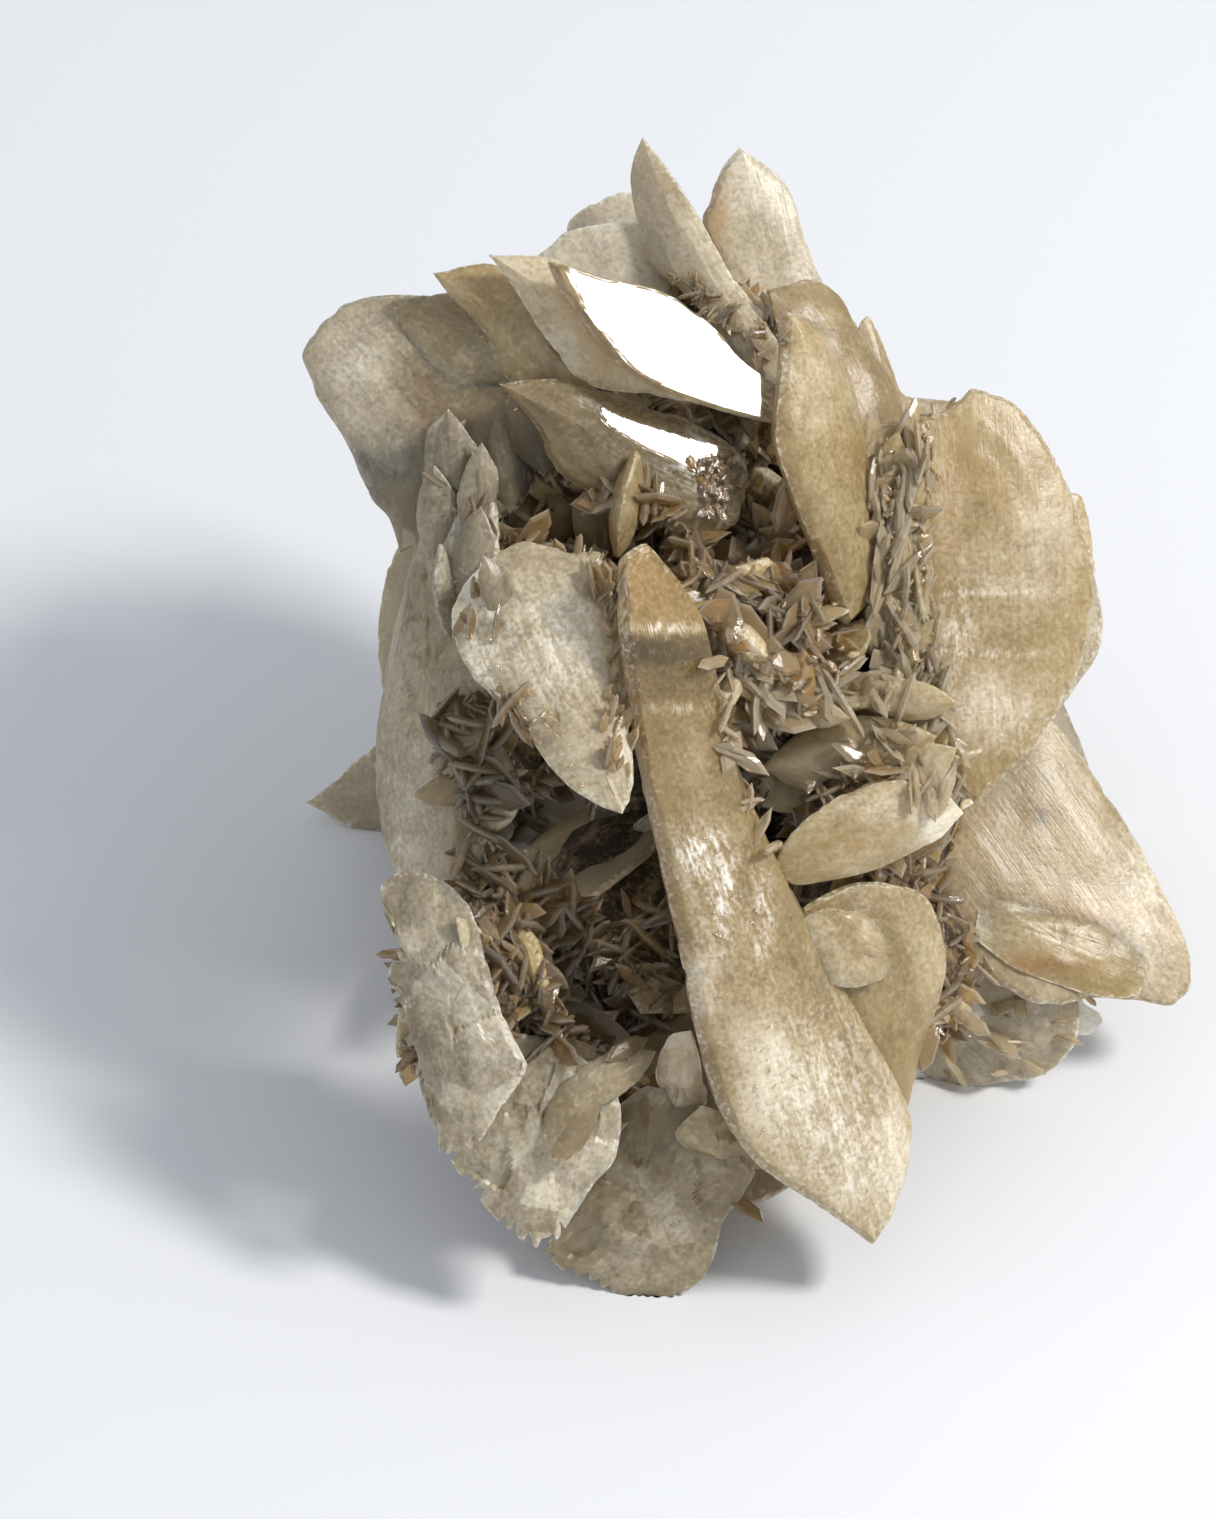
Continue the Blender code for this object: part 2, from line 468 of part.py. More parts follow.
def outer_skin(fused):
    """The fused solid without the tiny sealed pockets that crossing blades shut in. A pocket's
    wall faces inwards, so the volume that it encloses comes out negative."""
    evaluated = fused.evaluated_get(bpy.context.evaluated_depsgraph_get())
    data = bpy.data.meshes.new_from_object(evaluated)
    data.name = "crystal_cluster"
    mesh = bmesh.new()
    mesh.from_mesh(data)
    for faces in islands(mesh):
        volume = sum(face.calc_center_median().dot(face.normal) * face.calc_area() for face in faces) / 3
        if volume < 0:
            bmesh.ops.delete(mesh, geom=faces, context="FACES")
    mesh.to_mesh(data)
    mesh.free()
    return data


def new_collection(name):
    """An empty collection in the scene."""
    collection = bpy.data.collections.new(name)
    bpy.context.scene.collection.children.link(collection)
    return collection


def build():
    """Clears the scene, grows the cluster from its forms and names it."""
    for item in list(bpy.data.objects):
        bpy.data.objects.remove(item, do_unlink=True)
    part = new_collection("desert_rose_selenite")
    forms = new_collection("crystal_forms")
    cutters = new_collection("cutters")

    sheet = sheet_frame()
    for spec in fan() + crown() + right_side() + front() + left_side() + skirt():
        sheet_blade(spec, sheet, forms)
    for seed, spec in enumerate(hidden_blades()):
        hidden_blade(spec, seed, forms)
    chance = random.Random(CHANCE_SEED)
    for spec in rosettes():
        rosette(spec, sheet, forms, chance)
        druse_on(spec, sheet, forms, chance)

    fused = fuse(forms, floor_cutter(cutters))
    cluster = bpy.data.objects.new("crystal_cluster", outer_skin(fused))
    cluster.data.materials.append(selenite())
    part.objects.link(cluster)
    bpy.data.objects.remove(fused)


build()
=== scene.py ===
# %% [markdown]
# A desert rose is gypsum that grew in wet sand: flat, lens-shaped crystals that run through
# each other like the petals of a rose. When the gypsum is clear, it is called selenite. This
# notebook dresses the plain solid of one such rose. It starts by loading that solid, because
# its box is the size that the finished look has to keep.

import math
import random

import bpy
import numpy as np
from mathutils import Matrix, Vector
from mathutils.bvhtree import BVHTree


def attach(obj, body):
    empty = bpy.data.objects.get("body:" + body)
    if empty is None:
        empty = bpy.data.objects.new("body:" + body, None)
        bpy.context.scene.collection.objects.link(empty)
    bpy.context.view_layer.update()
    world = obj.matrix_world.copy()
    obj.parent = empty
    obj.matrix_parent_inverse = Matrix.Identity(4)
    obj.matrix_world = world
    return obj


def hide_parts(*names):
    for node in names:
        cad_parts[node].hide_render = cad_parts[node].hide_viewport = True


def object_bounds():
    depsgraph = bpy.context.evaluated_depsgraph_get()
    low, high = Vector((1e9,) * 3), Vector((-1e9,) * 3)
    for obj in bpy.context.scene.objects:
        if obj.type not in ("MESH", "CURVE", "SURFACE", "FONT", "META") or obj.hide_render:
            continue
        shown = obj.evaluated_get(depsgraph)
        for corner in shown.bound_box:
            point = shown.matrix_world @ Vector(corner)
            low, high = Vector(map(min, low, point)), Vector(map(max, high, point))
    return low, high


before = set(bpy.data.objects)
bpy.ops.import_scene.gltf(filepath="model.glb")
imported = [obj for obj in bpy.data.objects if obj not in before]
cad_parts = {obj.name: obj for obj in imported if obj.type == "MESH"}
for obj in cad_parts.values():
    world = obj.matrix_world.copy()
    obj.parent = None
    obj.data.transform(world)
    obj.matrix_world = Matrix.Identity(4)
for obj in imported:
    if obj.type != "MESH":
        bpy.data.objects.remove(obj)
MM = 0.001
cad_box = [list(corner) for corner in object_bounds()]
print("solid's box in mm", np.round(np.array(cad_box) / MM, 1).tolist())

# %% [markdown]
# The cluster's open face leans back, and the camera looks straight at it. So the shapes on
# that side are drawn on a leaning sheet, as they are seen: u runs right, v up the sheet and w
# out of it towards the camera. One small matrix carries places on the sheet to the model's
# own frame. All shapes below are in millimetres, and become metres in the last step.

# %% The leaning sheet
SHEET_LEAN = math.radians(42.0)
SHEET_ORIGIN = np.array([0.10, -1.47, 26.2])
SHEET_AXES = np.array([
    [1, 0, 0],
    [0, math.sin(SHEET_LEAN), math.cos(SHEET_LEAN)],
    [0, -math.cos(SHEET_LEAN), math.sin(SHEET_LEAN)]])


def from_sheet(places):
    """Places on the sheet as places in the model: origin + u right + v up + w out."""
    return SHEET_ORIGIN + np.asarray(places, float) @ SHEET_AXES


print("the sheet's normal", SHEET_AXES[2].round(3))

# %% [markdown]
# The camera stands far off with a long lens, as for a product photograph, so that parallel
# edges stay nearly parallel. The lens length follows from the height that the picture shows at
# the sheet and from the distance. Depth of field stays off.

# %% Camera
PICTURE_MIDDLE = (-8.56, -3.72, 0.0)   # the sheet's place in the middle of the picture
PICTURE_HEIGHT = 94.94                 # what the picture shows there, top to bottom
CAMERA_DISTANCE = 600.0
SENSOR = 36.0
CLIP_START = 0.01                      # metres


def set_camera():
    """Camera on the sheet's normal, upright on the sheet, with the sensor along the height."""
    data = bpy.data.cameras.new("camera")
    data.sensor_width = SENSOR
    data.lens = SENSOR * CAMERA_DISTANCE / PICTURE_HEIGHT
    data.clip_start = CLIP_START
    camera = bpy.data.objects.new("camera", data)
    bpy.context.scene.collection.objects.link(camera)
    turn = Matrix(SHEET_AXES.tolist()).transposed().to_4x4()
    place = from_sheet(PICTURE_MIDDLE) + SHEET_AXES[2] * CAMERA_DISTANCE
    camera.matrix_world = Matrix.Translation(Vector(place * MM)) @ turn
    bpy.context.scene.camera = camera
    return camera


print("lens in mm", round(set_camera().data.lens, 1))

# %% [markdown]
# The light is a white studio: a bright room all round and one soft lamp at the upper right, a
# little in front of the cluster, which lays a broad soft shadow to the left. The two shining
# facets near the top mirror that lamp. The floor is a plain pale sheet.

# %% Light and floor
ROOM_COLOUR = (0.89, 0.935, 1.0, 1.0)
ROOM_STRENGTH = 0.64
LAMP_COLOUR = (1.0, 0.975, 0.94)
LAMP_TOWARDS = Vector((0.636, -0.187, 0.748)).normalized()
LAMP_DISTANCE = 0.50
LAMP_SIZE = 0.10
LAMP_POWER = 2.1
LAMP_AIM = Vector((0, 0, 0.025))
FLOOR_SIZE = 3.0
FLOOR_COLOUR = (0.80, 0.81, 0.83, 1.0)
FLOOR_ROUGHNESS = 0.6
FLOOR_DROP = 0.00002        # so that the feet aren't in the sheet's own plane


def set_light():
    """The room's light and one square area lamp aimed at the cluster."""
    world = bpy.data.worlds.new("studio")
    world.use_nodes = True
    background = world.node_tree.nodes["Background"]
    background.inputs["Color"].default_value = ROOM_COLOUR
    background.inputs["Strength"].default_value = ROOM_STRENGTH
    bpy.context.scene.world = world
    data = bpy.data.lights.new("soft_lamp", "AREA")
    data.size = LAMP_SIZE
    data.energy = LAMP_POWER
    data.color = LAMP_COLOUR
    lamp = bpy.data.objects.new("soft_lamp", data)
    bpy.context.scene.collection.objects.link(lamp)
    lamp.location = LAMP_AIM + LAMP_TOWARDS * LAMP_DISTANCE
    lamp.rotation_mode = "QUATERNION"
    lamp.rotation_quaternion = LAMP_TOWARDS.to_track_quat("Z", "Y")


def set_floor():
    """A pale matt sheet just under the feet."""
    half = FLOOR_SIZE / 2
    mesh = bpy.data.meshes.new("floor")
    corners = [(-half, -half), (half, -half), (half, half), (-half, half)]
    mesh.from_pydata([(x, y, -FLOOR_DROP) for x, y in corners], [], [(0, 1, 2, 3)])
    floor = bpy.data.objects.new("floor", mesh)
    bpy.context.scene.collection.objects.link(floor)
    material = bpy.data.materials.new("pale_floor")
    material.use_nodes = True
    shader = material.node_tree.nodes["Principled BSDF"]
    shader.inputs["Base Color"].default_value = FLOOR_COLOUR
    shader.inputs["Roughness"].default_value = FLOOR_ROUGHNESS
    mesh.materials.append(material)


set_light()
set_floor()
bpy.context.scene.view_settings.view_transform = "Standard"
print("lamp's height above level in degrees", round(math.degrees(math.asin(LAMP_TOWARDS.z))))

# %% [markdown]
# Nothing on a crystal is quite flat or quite even, so many steps below ask for a smooth random
# value at a place. This is lattice noise: every corner of a cubic lattice gets a random value
# from a hash of its whole-number place, and a point takes the blend of the eight corners
# round it. It is worked out for whole arrays of points at once.

# %% Smooth noise
HASH_PRIMES = np.array([73856093, 19349663, 83492791])
HASH_SEED = 668265263
HASH_MIX = 1274126177
FLAT_LEVEL = 0.37           # any level that isn't a whole number


def lattice_values(cells, seed):
    """A random value between -1 and 1 for each whole-number place."""
    mixed = (cells * HASH_PRIMES).sum(axis=-1) + seed * HASH_SEED
    mixed = (mixed ^ (mixed >> 13)) * HASH_MIX
    mixed = (mixed ^ (mixed >> 16)) & 0xFFFF
    return mixed / 32767.5 - 1.0


def noise(points, size, seed):
    """Noise between -1 and 1: the blend of the eight lattice values round each point, with
    smoothstep weights. size is the lattice's cell, in the points' own unit."""
    scaled = np.asarray(points, float) / size
    cells = np.floor(scaled).astype(np.int64)
    part = scaled - cells
    part = part * part * (3 - 2 * part)
    total = np.zeros(scaled.shape[:-1])
    for corner in np.ndindex(2, 2, 2):
        weight = np.where(corner, part, 1 - part).prod(axis=-1)
        total += weight * lattice_values(cells + corner, seed)
    return total


def flat_noise(x, y, size, seed):
    """Noise over a plane, for x and y of one shape."""
    return noise(np.stack([x, y, np.full_like(x, FLAT_LEVEL)], axis=-1), size, seed)


print("noise at three places", noise([[0.2, 0.4, 0.1], [5, 7, 9], [3.3, 1.2, 8.8]], 1.0, 4).round(2))

# %% [markdown]
# Each blade on the open side is an outline drawn on the sheet, a distance out of it, and two
# small angles: how far its face turns to the right and tips upwards. These are the same
# outlines that the solid was built from, with a few words on how each crystal looks: honey
# (0 smoky grey, 1 amber) and pale (how cloudy and white). Where a blade differs from the rest,
# fall says how domed it is, and step, layer, scales and teeth are the heights of its terraces
# and growth layers, of the scales on it and of the notches in its outer rim. A facet is a
# place, the direction that it faces and its height above the blade's middle plane. A spot is a
# place, two half sizes, and what it adds there to honey, pale, gloss, stain, smoke and frost.
# A window is a spot with a clear edge.
# Smoke also paints the shade of the dark hollows, and frost paints light on the ledges in the wing's shade.

# %% Outlines of the fan at the top left
TO_LAMP = None      # stands for the way in which a facet shows the lamp to the camera
FAN = [
    dict(name="fan_broad", out=4.0, turn=-10, tip=5, thick=3.4, honey=0.35, pale=0.25, outline=[
        (-27.6, 21.4), (-26.7, 18.9), (-25.0, 16.3), (-23.1, 12.5), (-19.7, 9.7), (-14.0, 11.9),
        (-12.5, 17.5), (-15.3, 23.1), (-19.8, 25.0), (-23.1, 25.1), (-25.0, 24.6), (-26.4, 23.4)],
         spots=[(-25, 21.5, 3, 4, 0, 0.35, 0, 0, 0, 0.3), (-20, 15, 4, 3, -0.2, 0, 0, 0, 0.1, 0),
             # painted shade: smoke 0.9 and less pale in the dark hollow at the fan's foot
             (-13.3, 13.5, 2.2, 4, 0, -0.3, 0, 0, 0.9, 0)]),
    dict(name="fan_step", out=5.2, turn=-8, tip=5, thick=2.6, honey=0.5, pale=0.3, outline=[
        (-22.1, 24.8), (-21.3, 22.8), (-20.0, 20.8), (-18.1, 19.0), (-15.3, 19.3), (-11.6, 17.5),
        (-11.6, 22.5), (-16.6, 25.2), (-19.7, 25.1)]),
    dict(name="fan_under_left", out=4.5, turn=-20, tip=0, thick=1.9, honey=0.3, pale=0.3, outline=[
        (-24.7, 15.9), (-23.9, 14.1), (-23.3, 12.5), (-22.1, 11.1), (-21.4, 9.1), (-20.0, 10.0),
        (-19.1, 12.5), (-19.1, 16.3), (-21.6, 17.5)]),
    dict(name="fan_second", out=7.0, turn=0, tip=5, thick=2.8, honey=0.8, pale=0.3, outline=[
        (-19.5, 26.4), (-18.3, 24.9), (-17.2, 23.8), (-16.1, 22.5), (-15.6, 21.1), (-14.7, 19.7),
        (-12.8, 18.8), (-9.1, 18.8), (-10.3, 21.9), (-12.8, 25.6), (-15.6, 26.9), (-17.2, 26.8)]),
    dict(name="fan_third", out=8.8, turn=10, tip=5, thick=2.8, honey=0.9, pale=0.65, outline=[
        (-16.0, 27.4), (-15.3, 26.6), (-14.2, 25.0), (-13.1, 23.1), (-11.7, 21.3), (-10.6, 19.7),
        (-9.1, 19.1), (-6.6, 18.8), (-2.8, 18.1), (-4.1, 20.6), (-7.8, 25.0), (-11.6, 27.0),
        (-13.4, 27.3)]),
    dict(name="fan_mirror", out=10.4, turn=21, tip=12.5, thick=2.6, honey=0.5, pale=0.1, layer=0.0,
         step=0.0, outline=[
        (-12.3, 26.8), (-11.6, 25.3), (-9.7, 22.5), (-7.5, 20.0), (-5.3, 18.8), (-0.9, 17.5),
        (2.6, 16.8), (2.7, 18.6), (0.0, 20.5), (-2.1, 22.9), (-5.0, 25.0), (-9.1, 25.9)],
         facets=[((-4.8, 21.5), TO_LAMP, 0.52), ((-10.9, 24.7), (0.145, 0.072, 0.987), 0.70)],
         spots=[(1.0, 18.0, 2.6, 1.2, 0, 0, 0, 0, 0, 0.8), (-6, 21.4, 0.8, 2.5, 0, 0, 0, 0, 0, 0.4)]),
    dict(name="fan_lower", out=7.6, turn=12, tip=-5, thick=3.2, honey=0.5, pale=0.0, outline=[
        (-15.3, 19.4), (-13.1, 16.9), (-11.9, 14.3), (-9.3, 12.4), (-6.6, 11.3), (-2.8, 10.0),
        (-0.6, 10.9), (0.0, 13.1), (-0.2, 15.0), (-3.4, 17.2), (-8.4, 18.8), (-11.6, 19.7)],
         facets=[((-3.0, 14.4), TO_LAMP, 1.1)],
         spots=[(-9, 15, 4, 4, 0, -0.2, 0, 0, 0.25, 0), (-2.5, 14.5, 3, 2, 0, 0, 0, 0, 0.1, 1.2)]),
    dict(name="fan_under", out=7.0, turn=0, tip=0, thick=1.4, honey=0.5, pale=0.1, outline=[
        (-14.8, 18.8), (-14.8, 16.3), (-14.1, 15.0), (-12.5, 13.8), (-11.0, 15.5), (-12.0, 18.5)],
         # painted shade: smoke 0.85 and less pale in the same dark hollow at the fan's foot
         spots=[(-13.0, 14.5, 2.5, 4, 0, -0.3, 0, 0, 0.85, 0)]),
]
print("fan:", len(FAN), "blades")

# %% Outlines of the upright blades along the top
CROWN = [
    dict(name="top_spike", out=0.5, turn=-28, tip=5, thick=2.4, honey=0.45, pale=0.55, outline=[
        (-6.4, 35.4), (-6.9, 34.1), (-7.1, 32.4), (-6.6, 29.7), (-5.9, 27.4), (-3.4, 25.0),
        (-0.9, 21.2), (4.5, 15.0), (2.4, 21.5), (0.0, 25.0), (-1.9, 28.4), (-4.1, 32.2)]),
    dict(name="top_right", out=-8.5, turn=10, tip=0, thick=2.6, honey=0.4, pale=0.8, layer=0.03, step=0.01,
         fall=0.35, outline=[
        (-0.2, 35.1), (-1.3, 33.8), (-2.1, 31.9), (-2.6, 30.3), (-1.6, 27.5), (0.3, 20.4),
        (3.4, 12.0), (6.6, 20.4), (5.3, 25.9), (4.6, 27.6), (3.8, 29.7), (3.4, 31.3), (2.5, 33.0)],
         spots=[(-1.8, 31, 1, 4, 0.5, -0.3, 0, 0.25, 0, 0)]),
    dict(name="top_left", out=-3.0, turn=-5, tip=5, thick=2.0, honey=0.2, pale=0.9, outline=[
        (-13.8, 27.4), (-12.5, 22.5), (-9.0, 19.5), (-5.0, 20.5), (-4.0, 26.0), (-6.6, 30.1),
        (-9.1, 29.9), (-11.1, 29.5), (-12.8, 28.1)]),
    dict(name="top_left_back", out=-7.0, turn=-5, tip=5, thick=1.9, honey=0.2, pale=0.8, outline=[
        (-11.2, 29.5), (-10.8, 26.0), (-9.0, 22.0), (-5.0, 22.0), (-3.5, 28.0), (-5.0, 32.0),
        (-7.1, 32.3), (-8.9, 31.8), (-10.9, 30.5)]),
    dict(name="crest", out=1.0, turn=25, tip=10, thick=2.4, honey=0.6, pale=0.1, outline=[
        (1.3, 25.5), (2.2, 22.5), (4.7, 16.8), (7.8, 13.9), (10.0, 16.2), (9.7, 19.1), (8.1, 21.6),
        (6.6, 24.1), (5.2, 26.0), (3.4, 26.2)]),
    dict(name="crest_back", out=-4.0, turn=20, tip=0, thick=1.6, honey=0.6, pale=0.2, outline=[
        (7.3, 23.9), (6.5, 20.0), (9.5, 10.5), (12.5, 12.0), (11.3, 18.8), (10.0, 19.3),
        (9.3, 20.9), (8.4, 23.1), (7.8, 24.2)]),
]
print("top:", len(CROWN), "blades")

# %% Outlines of the disc, the wing and the ledges on the right
RIGHT_SIDE = [
    dict(name="spindle", out=7.6, turn=45, tip=0, thick=3.4, honey=0.8, pale=0.3, outline=[
        (2.3, 23.8), (2.0, 19.7), (1.7, 16.0), (2.7, 12.7), (3.9, 9.7), (5.1, 6.9), (6.1, 4.6),
        (7.6, 6.1), (7.7, 9.7), (7.5, 12.9), (7.3, 15.4), (6.8, 17.8), (5.8, 21.0), (3.4, 23.6)]),
    dict(name="disc", out=4.0, turn=10, tip=0, thick=3.0, honey=0.8, pale=0.25, layer=0.05, step=0.02,
         outline=[
        (12.2, 17.9), (7.7, 16.8), (7.1, 12.5), (7.3, 6.9), (8.8, 0.6), (11.6, -4.4), (14.2, -6.4),
        (15.9, -4.9), (18.1, -2.6), (20.0, 0.2), (21.4, 4.1), (21.7, 7.5), (20.8, 11.3),
        (19.4, 14.6), (17.8, 17.2), (16.3, 18.6), (13.9, 19.3)],
         spots=[(10.5, 12, 3, 6, 0.2, 0, 0, 0.2, 0, 0), (16, -1.2, 2.5, 2, 0, 0.4, 0, 0, 0, 0.5),
             (13, 4, 1.5, 4, 0, 0.2, 0, 0, 0, 0.6), (19, 8, 3, 8, -0.1, 0.2, 0, 0, 0, 0),
             (14.5, 6.6, 5, 0.2, 0, 0, 0, 0, 0, 0.7), (15.5, 2.8, 5, 0.2, 0, 0, 0, 0, 0, 0.7)]),
    dict(name="disc_behind", out=-6.0, turn=10, tip=0, thick=1.9, honey=0.9, pale=0.6, outline=[
        (20.2, 13.3), (15.5, 12.0), (14.5, 8.0), (18.5, 5.2), (21.7, 6.9), (22.3, 9.1), (21.3, 13.0)]),
    dict(name="wing", out=-8.0, turn=15, tip=10, thick=2.6, honey=0.65, pale=0.3, layer=0.04, step=0.012,
         outline=[
        (19.4, -1.1), (15.5, -2.5), (12.5, -7.0), (12.0, -13.0), (15.5, -17.5), (19.0, -19.3),
        (22.2, -18.8), (25.3, -19.1), (27.2, -19.3), (28.4, -18.1), (28.4, -16.3), (27.2, -13.1),
        (25.3, -9.4), (23.1, -5.9), (21.1, -3.0)],
         spots=[(19.5, -13.6, 5, 1, 0.3, -0.2, 0, 0.55, 0, 0),
             (25.5, -12.5, 2.5, 6, 0, 0.4, 0, 0, 0, 0.5), (18.8, -7.5, 0.5, 0.6, 0, -0.5, 0, 0, 0.8, 0),
             (16.5, -5, 3, 2, -0.2, -0.3, 0, 0, 0.15, 0)]),
    dict(name="wing_under", out=-6.5, turn=15, tip=10, thick=1.4, honey=0.9, pale=0.3, scales=0.25,
         outline=[
        (15.0, -12.6), (14.5, -14.8), (16.5, -16.6), (19.7, -17.9), (22.8, -18.8), (25.0, -18.6),
        (25.5, -16.5), (24.0, -14.2), (21.0, -13.1), (18.4, -12.4)],
         spots=[(18, -16.8, 4, 0.8, 0.3, -0.2, 0, 0.6, 0, 0)]),
    dict(name="ledge", out=-10.0, turn=10, tip=0, thick=1.8, honey=0.6, pale=1.1, teeth=0.7, layer=0.3,
         outer=(0.7, -0.7, 0), outline=[
        (9.2, -17.1), (10.8, -20.6), (16.0, -20.9), (19.0, -21.9), (21.3, -21.8), (23.0, -20.4),
        (22.3, -18.9), (19.7, -18.1), (16.0, -15.8)],
         # painted light: pale 1.1 and a frost spot brighten the ledge where the wing shades it
         spots=[(18, -20, 6, 4, 0, 0.3, 0, 0, 0, 1.2)]),
    dict(name="ledge_base", out=-12.7, turn=5, tip=0, thick=2.0, honey=0.3, pale=1.0, teeth=0.7, layer=0.3,
         outer=(0.7, -0.7, 0), outline=[
        (9.0, -20.9), (10.9, -24.1), (15.9, -24.1), (17.8, -23.3), (18.8, -22.4), (16.6, -19.3),
        (12.4, -17.9)],
         # painted light: a frost spot brightens the ledge's base where the wing shades it
         spots=[(15, -22, 5, 4, 0, 0.3, 0, 0, 0, 1.2)]),
]
print("right side:", len(RIGHT_SIDE), "blades")

# %% Outlines of the long front blade and the plates beside it
FRONT = [
    dict(name="front", out=11.0, turn=30, tip=-4, thick=4.0, honey=0.75, pale=0.1, layer=0.05, step=0.02,
         outline=[
        (-6.3, 9.5), (-7.7, 8.6), (-7.7, 3.8), (-6.8, -2.5), (-5.6, -8.8), (-4.2, -15.6),
        (-2.8, -21.9), (-1.4, -25.8), (0.6, -28.6), (4.4, -31.3), (7.8, -33.8), (9.3, -31.3),
        (10.1, -26.3), (7.2, -20.3), (3.8, -13.8), (0.3, -6.9), (-2.1, -0.6), (-3.4, 5.6)],
         facets=[((-5.0, 0.6), (0.49, 0.05, 0.87), 1.45)],
         windows=[(-5.2, 3.0, 5, 1.0, -0.2, -0.4, 0.5, 0, 0.36, 0)],
         spots=[(-5.2, 6.5, 3.2, 2.4, 0.2, 0, 0, 0.12, 0, 0),
             (-5.2, 1.2, 4, 1.9, 0, -0.3, 0.3, 0, 0.3, 0), (-5.5, 4.2, 3, 0.25, 0, 0.9, 0, 0, 0, 0.7),
             (-4.5, -0.6, 3, 0.2, 0, 0.6, 0, 0, 0, 0.5),
             (-7, 6.8, 1.6, 2.2, 0.2, 0, 0, 0.15, 0, 0), (-3, -9.6, 1.6, 1.8, 0, 0.4, 0, 0, 0, 1.4),
             (-1.4, -12.2, 1, 3, 0, 0.3, 0, 0, 0, 1.1), (0.9, -13.2, 0.7, 3, 0, 0.2, 0, 0, 0, 1),
             (-2.9, -16.5, 1.2, 4, 0, 0.5, 0, 0, 0, 0.4), (4.8, -24, 3.6, 6, 0, 0.4, 0, 0, 0, 0.7),
             (7.8, -30, 3, 4, 0, 0.5, 0, 0, 0, 0.4), (9.4, -27, 1.2, 5, 0, 0.4, 0, 0, 0, 0),
             (1, -23, 2, 5, 0, 0.5, 0, 0, 0, 0)]),
    dict(name="front_back", out=6.5, turn=25, tip=-10, thick=2.2, honey=0.75, pale=0.22, outline=[
        (3.4, -12.8), (3.8, -16.0), (5.5, -20.0), (7.5, -24.5), (10.0, -25.6), (10.8, -21.9),
        (11.4, -20.3), (12.1, -18.1), (12.4, -16.3), (12.1, -14.4), (11.3, -12.5), (10.0, -11.6),
        (6.6, -11.3)]),
    dict(name="slab", out=10.5, turn=10, tip=-15, thick=2.0, honey=1.0, pale=0.4, outline=[
        (1.7, -10.5), (2.8, -11.4), (5.3, -11.1), (7.8, -10.5), (10.0, -9.5), (12.2, -8.4),
        (13.3, -7.0), (11.6, -5.3), (9.0, -5.0), (6.5, -5.5), (4.0, -7.0), (2.2, -8.8)],
         spots=[(8, -6.5, 5, 1.2, 0, 0.3, 0, 0, 0, 0.3), (12, -8, 1.5, 2, -0.3, 0.5, 0, 0, 0, 0.3)]),
    dict(name="slab_small", out=9.6, turn=15, tip=-10, thick=1.9, honey=0.8, pale=0.4, scales=0.5, outline=[
        (3.4, -13.4), (3.4, -15.3), (4.1, -17.2), (6.6, -17.8), (8.1, -17.4), (8.8, -16.4),
        (8.6, -14.7), (7.5, -13.4), (5.3, -12.8)]),
    dict(name="needle", out=7.0, turn=0, tip=55, thick=1.6, honey=0.6, pale=0.3, outline=[
        (-0.9, -0.3), (0.9, -1.6), (4.7, -0.8), (8.4, -0.3), (11.6, 0.0), (8.4, 1.1), (1.6, 0.6)]),
    dict(name="leaf", out=6.0, turn=-45, tip=30, thick=1.6, honey=0.7, pale=0.2, outline=[
        (3.0, 0.5), (1.0, -1.5), (5.3, 0.4), (6.6, 1.9), (7.7, 3.8), (7.3, 5.0), (5.2, 4.1)]),
]
print("front:", len(FRONT), "blades")

# %% Outlines round the hollow on the left
LEFT_SIDE = [
    dict(name="shoulder", out=14.0, turn=-5, tip=20, thick=2.6, honey=0.6, scales=0.12, pale=0.5, outline=[
        (-18.1, 5.5), (-18.1, 4.1), (-17.5, 2.5), (-16.3, 0.6), (-14.7, -0.8), (-13.4, -2.5),
        (-11.9, -4.4), (-10.3, -5.9), (-7.6, -7.2), (-7.0, -5.0), (-7.5, 0.0), (-8.0, 5.0),
        (-9.0, 9.0), (-11.5, 9.2), (-14.1, 9.6), (-16.6, 7.9), (-17.8, 6.3)],
         spots=[(-16.5, 4, 1.4, 4, 0, 0.3, 0.3, 0, 0, 0.9), (-12, 3, 3, 4, 0, 0.2, 0, 0, 0, 0.7)]),
    dict(name="left_wall", out=6.5, turn=-40, tip=0, thick=3.4, scales=0.22, honey=0.4, pale=0.42, outline=[
        (-18.6, 17.7), (-19.6, 16.8), (-19.4, 13.1), (-20.6, 8.8), (-21.6, 5.0), (-22.6, 0.0),
        (-22.9, -4.4), (-22.2, -9.4), (-20.3, -12.5), (-17.2, -11.3), (-15.3, -6.3), (-15.3, 0.0),
        (-15.3, 6.3), (-15.3, 10.6), (-16.1, 14.4), (-17.2, 16.4)],
         spots=[(-17.5, 12, 2.5, 4, 0, 0, 0, 0, 0, 0.7), (-21, -8, 2.5, 5, 0, 0.35, 0, 0, 0, 0.3),
             (-16.5, 14, 1.2, 4, 0, -0.3, 0, 0, 0.4, 0)]),
    dict(name="left_behind", out=-30.0, turn=0, tip=0, thick=2.0, honey=0.4, pale=0.4, outline=[
        (-28.6, -6.6), (-27.5, -7.1), (-25.6, -8.1), (-20.5, -8.8), (-10.0, -8.6), (-9.0, 0.5),
        (-20.5, -0.4), (-24.7, -3.4), (-26.6, -5.1)]),
    dict(name="left_behind_middle", out=-10.0, turn=-10, tip=0, thick=1.9, honey=0.5, pale=0.4, outline=[
        (-21.6, 10.3), (-22.4, 8.9), (-22.9, 6.9), (-23.2, 3.8), (-22.9, 0.6), (-20.5, -1.0),
        (-15.0, 0.0), (-15.0, 9.0)]),
]
print("left side:", len(LEFT_SIDE), "blades")

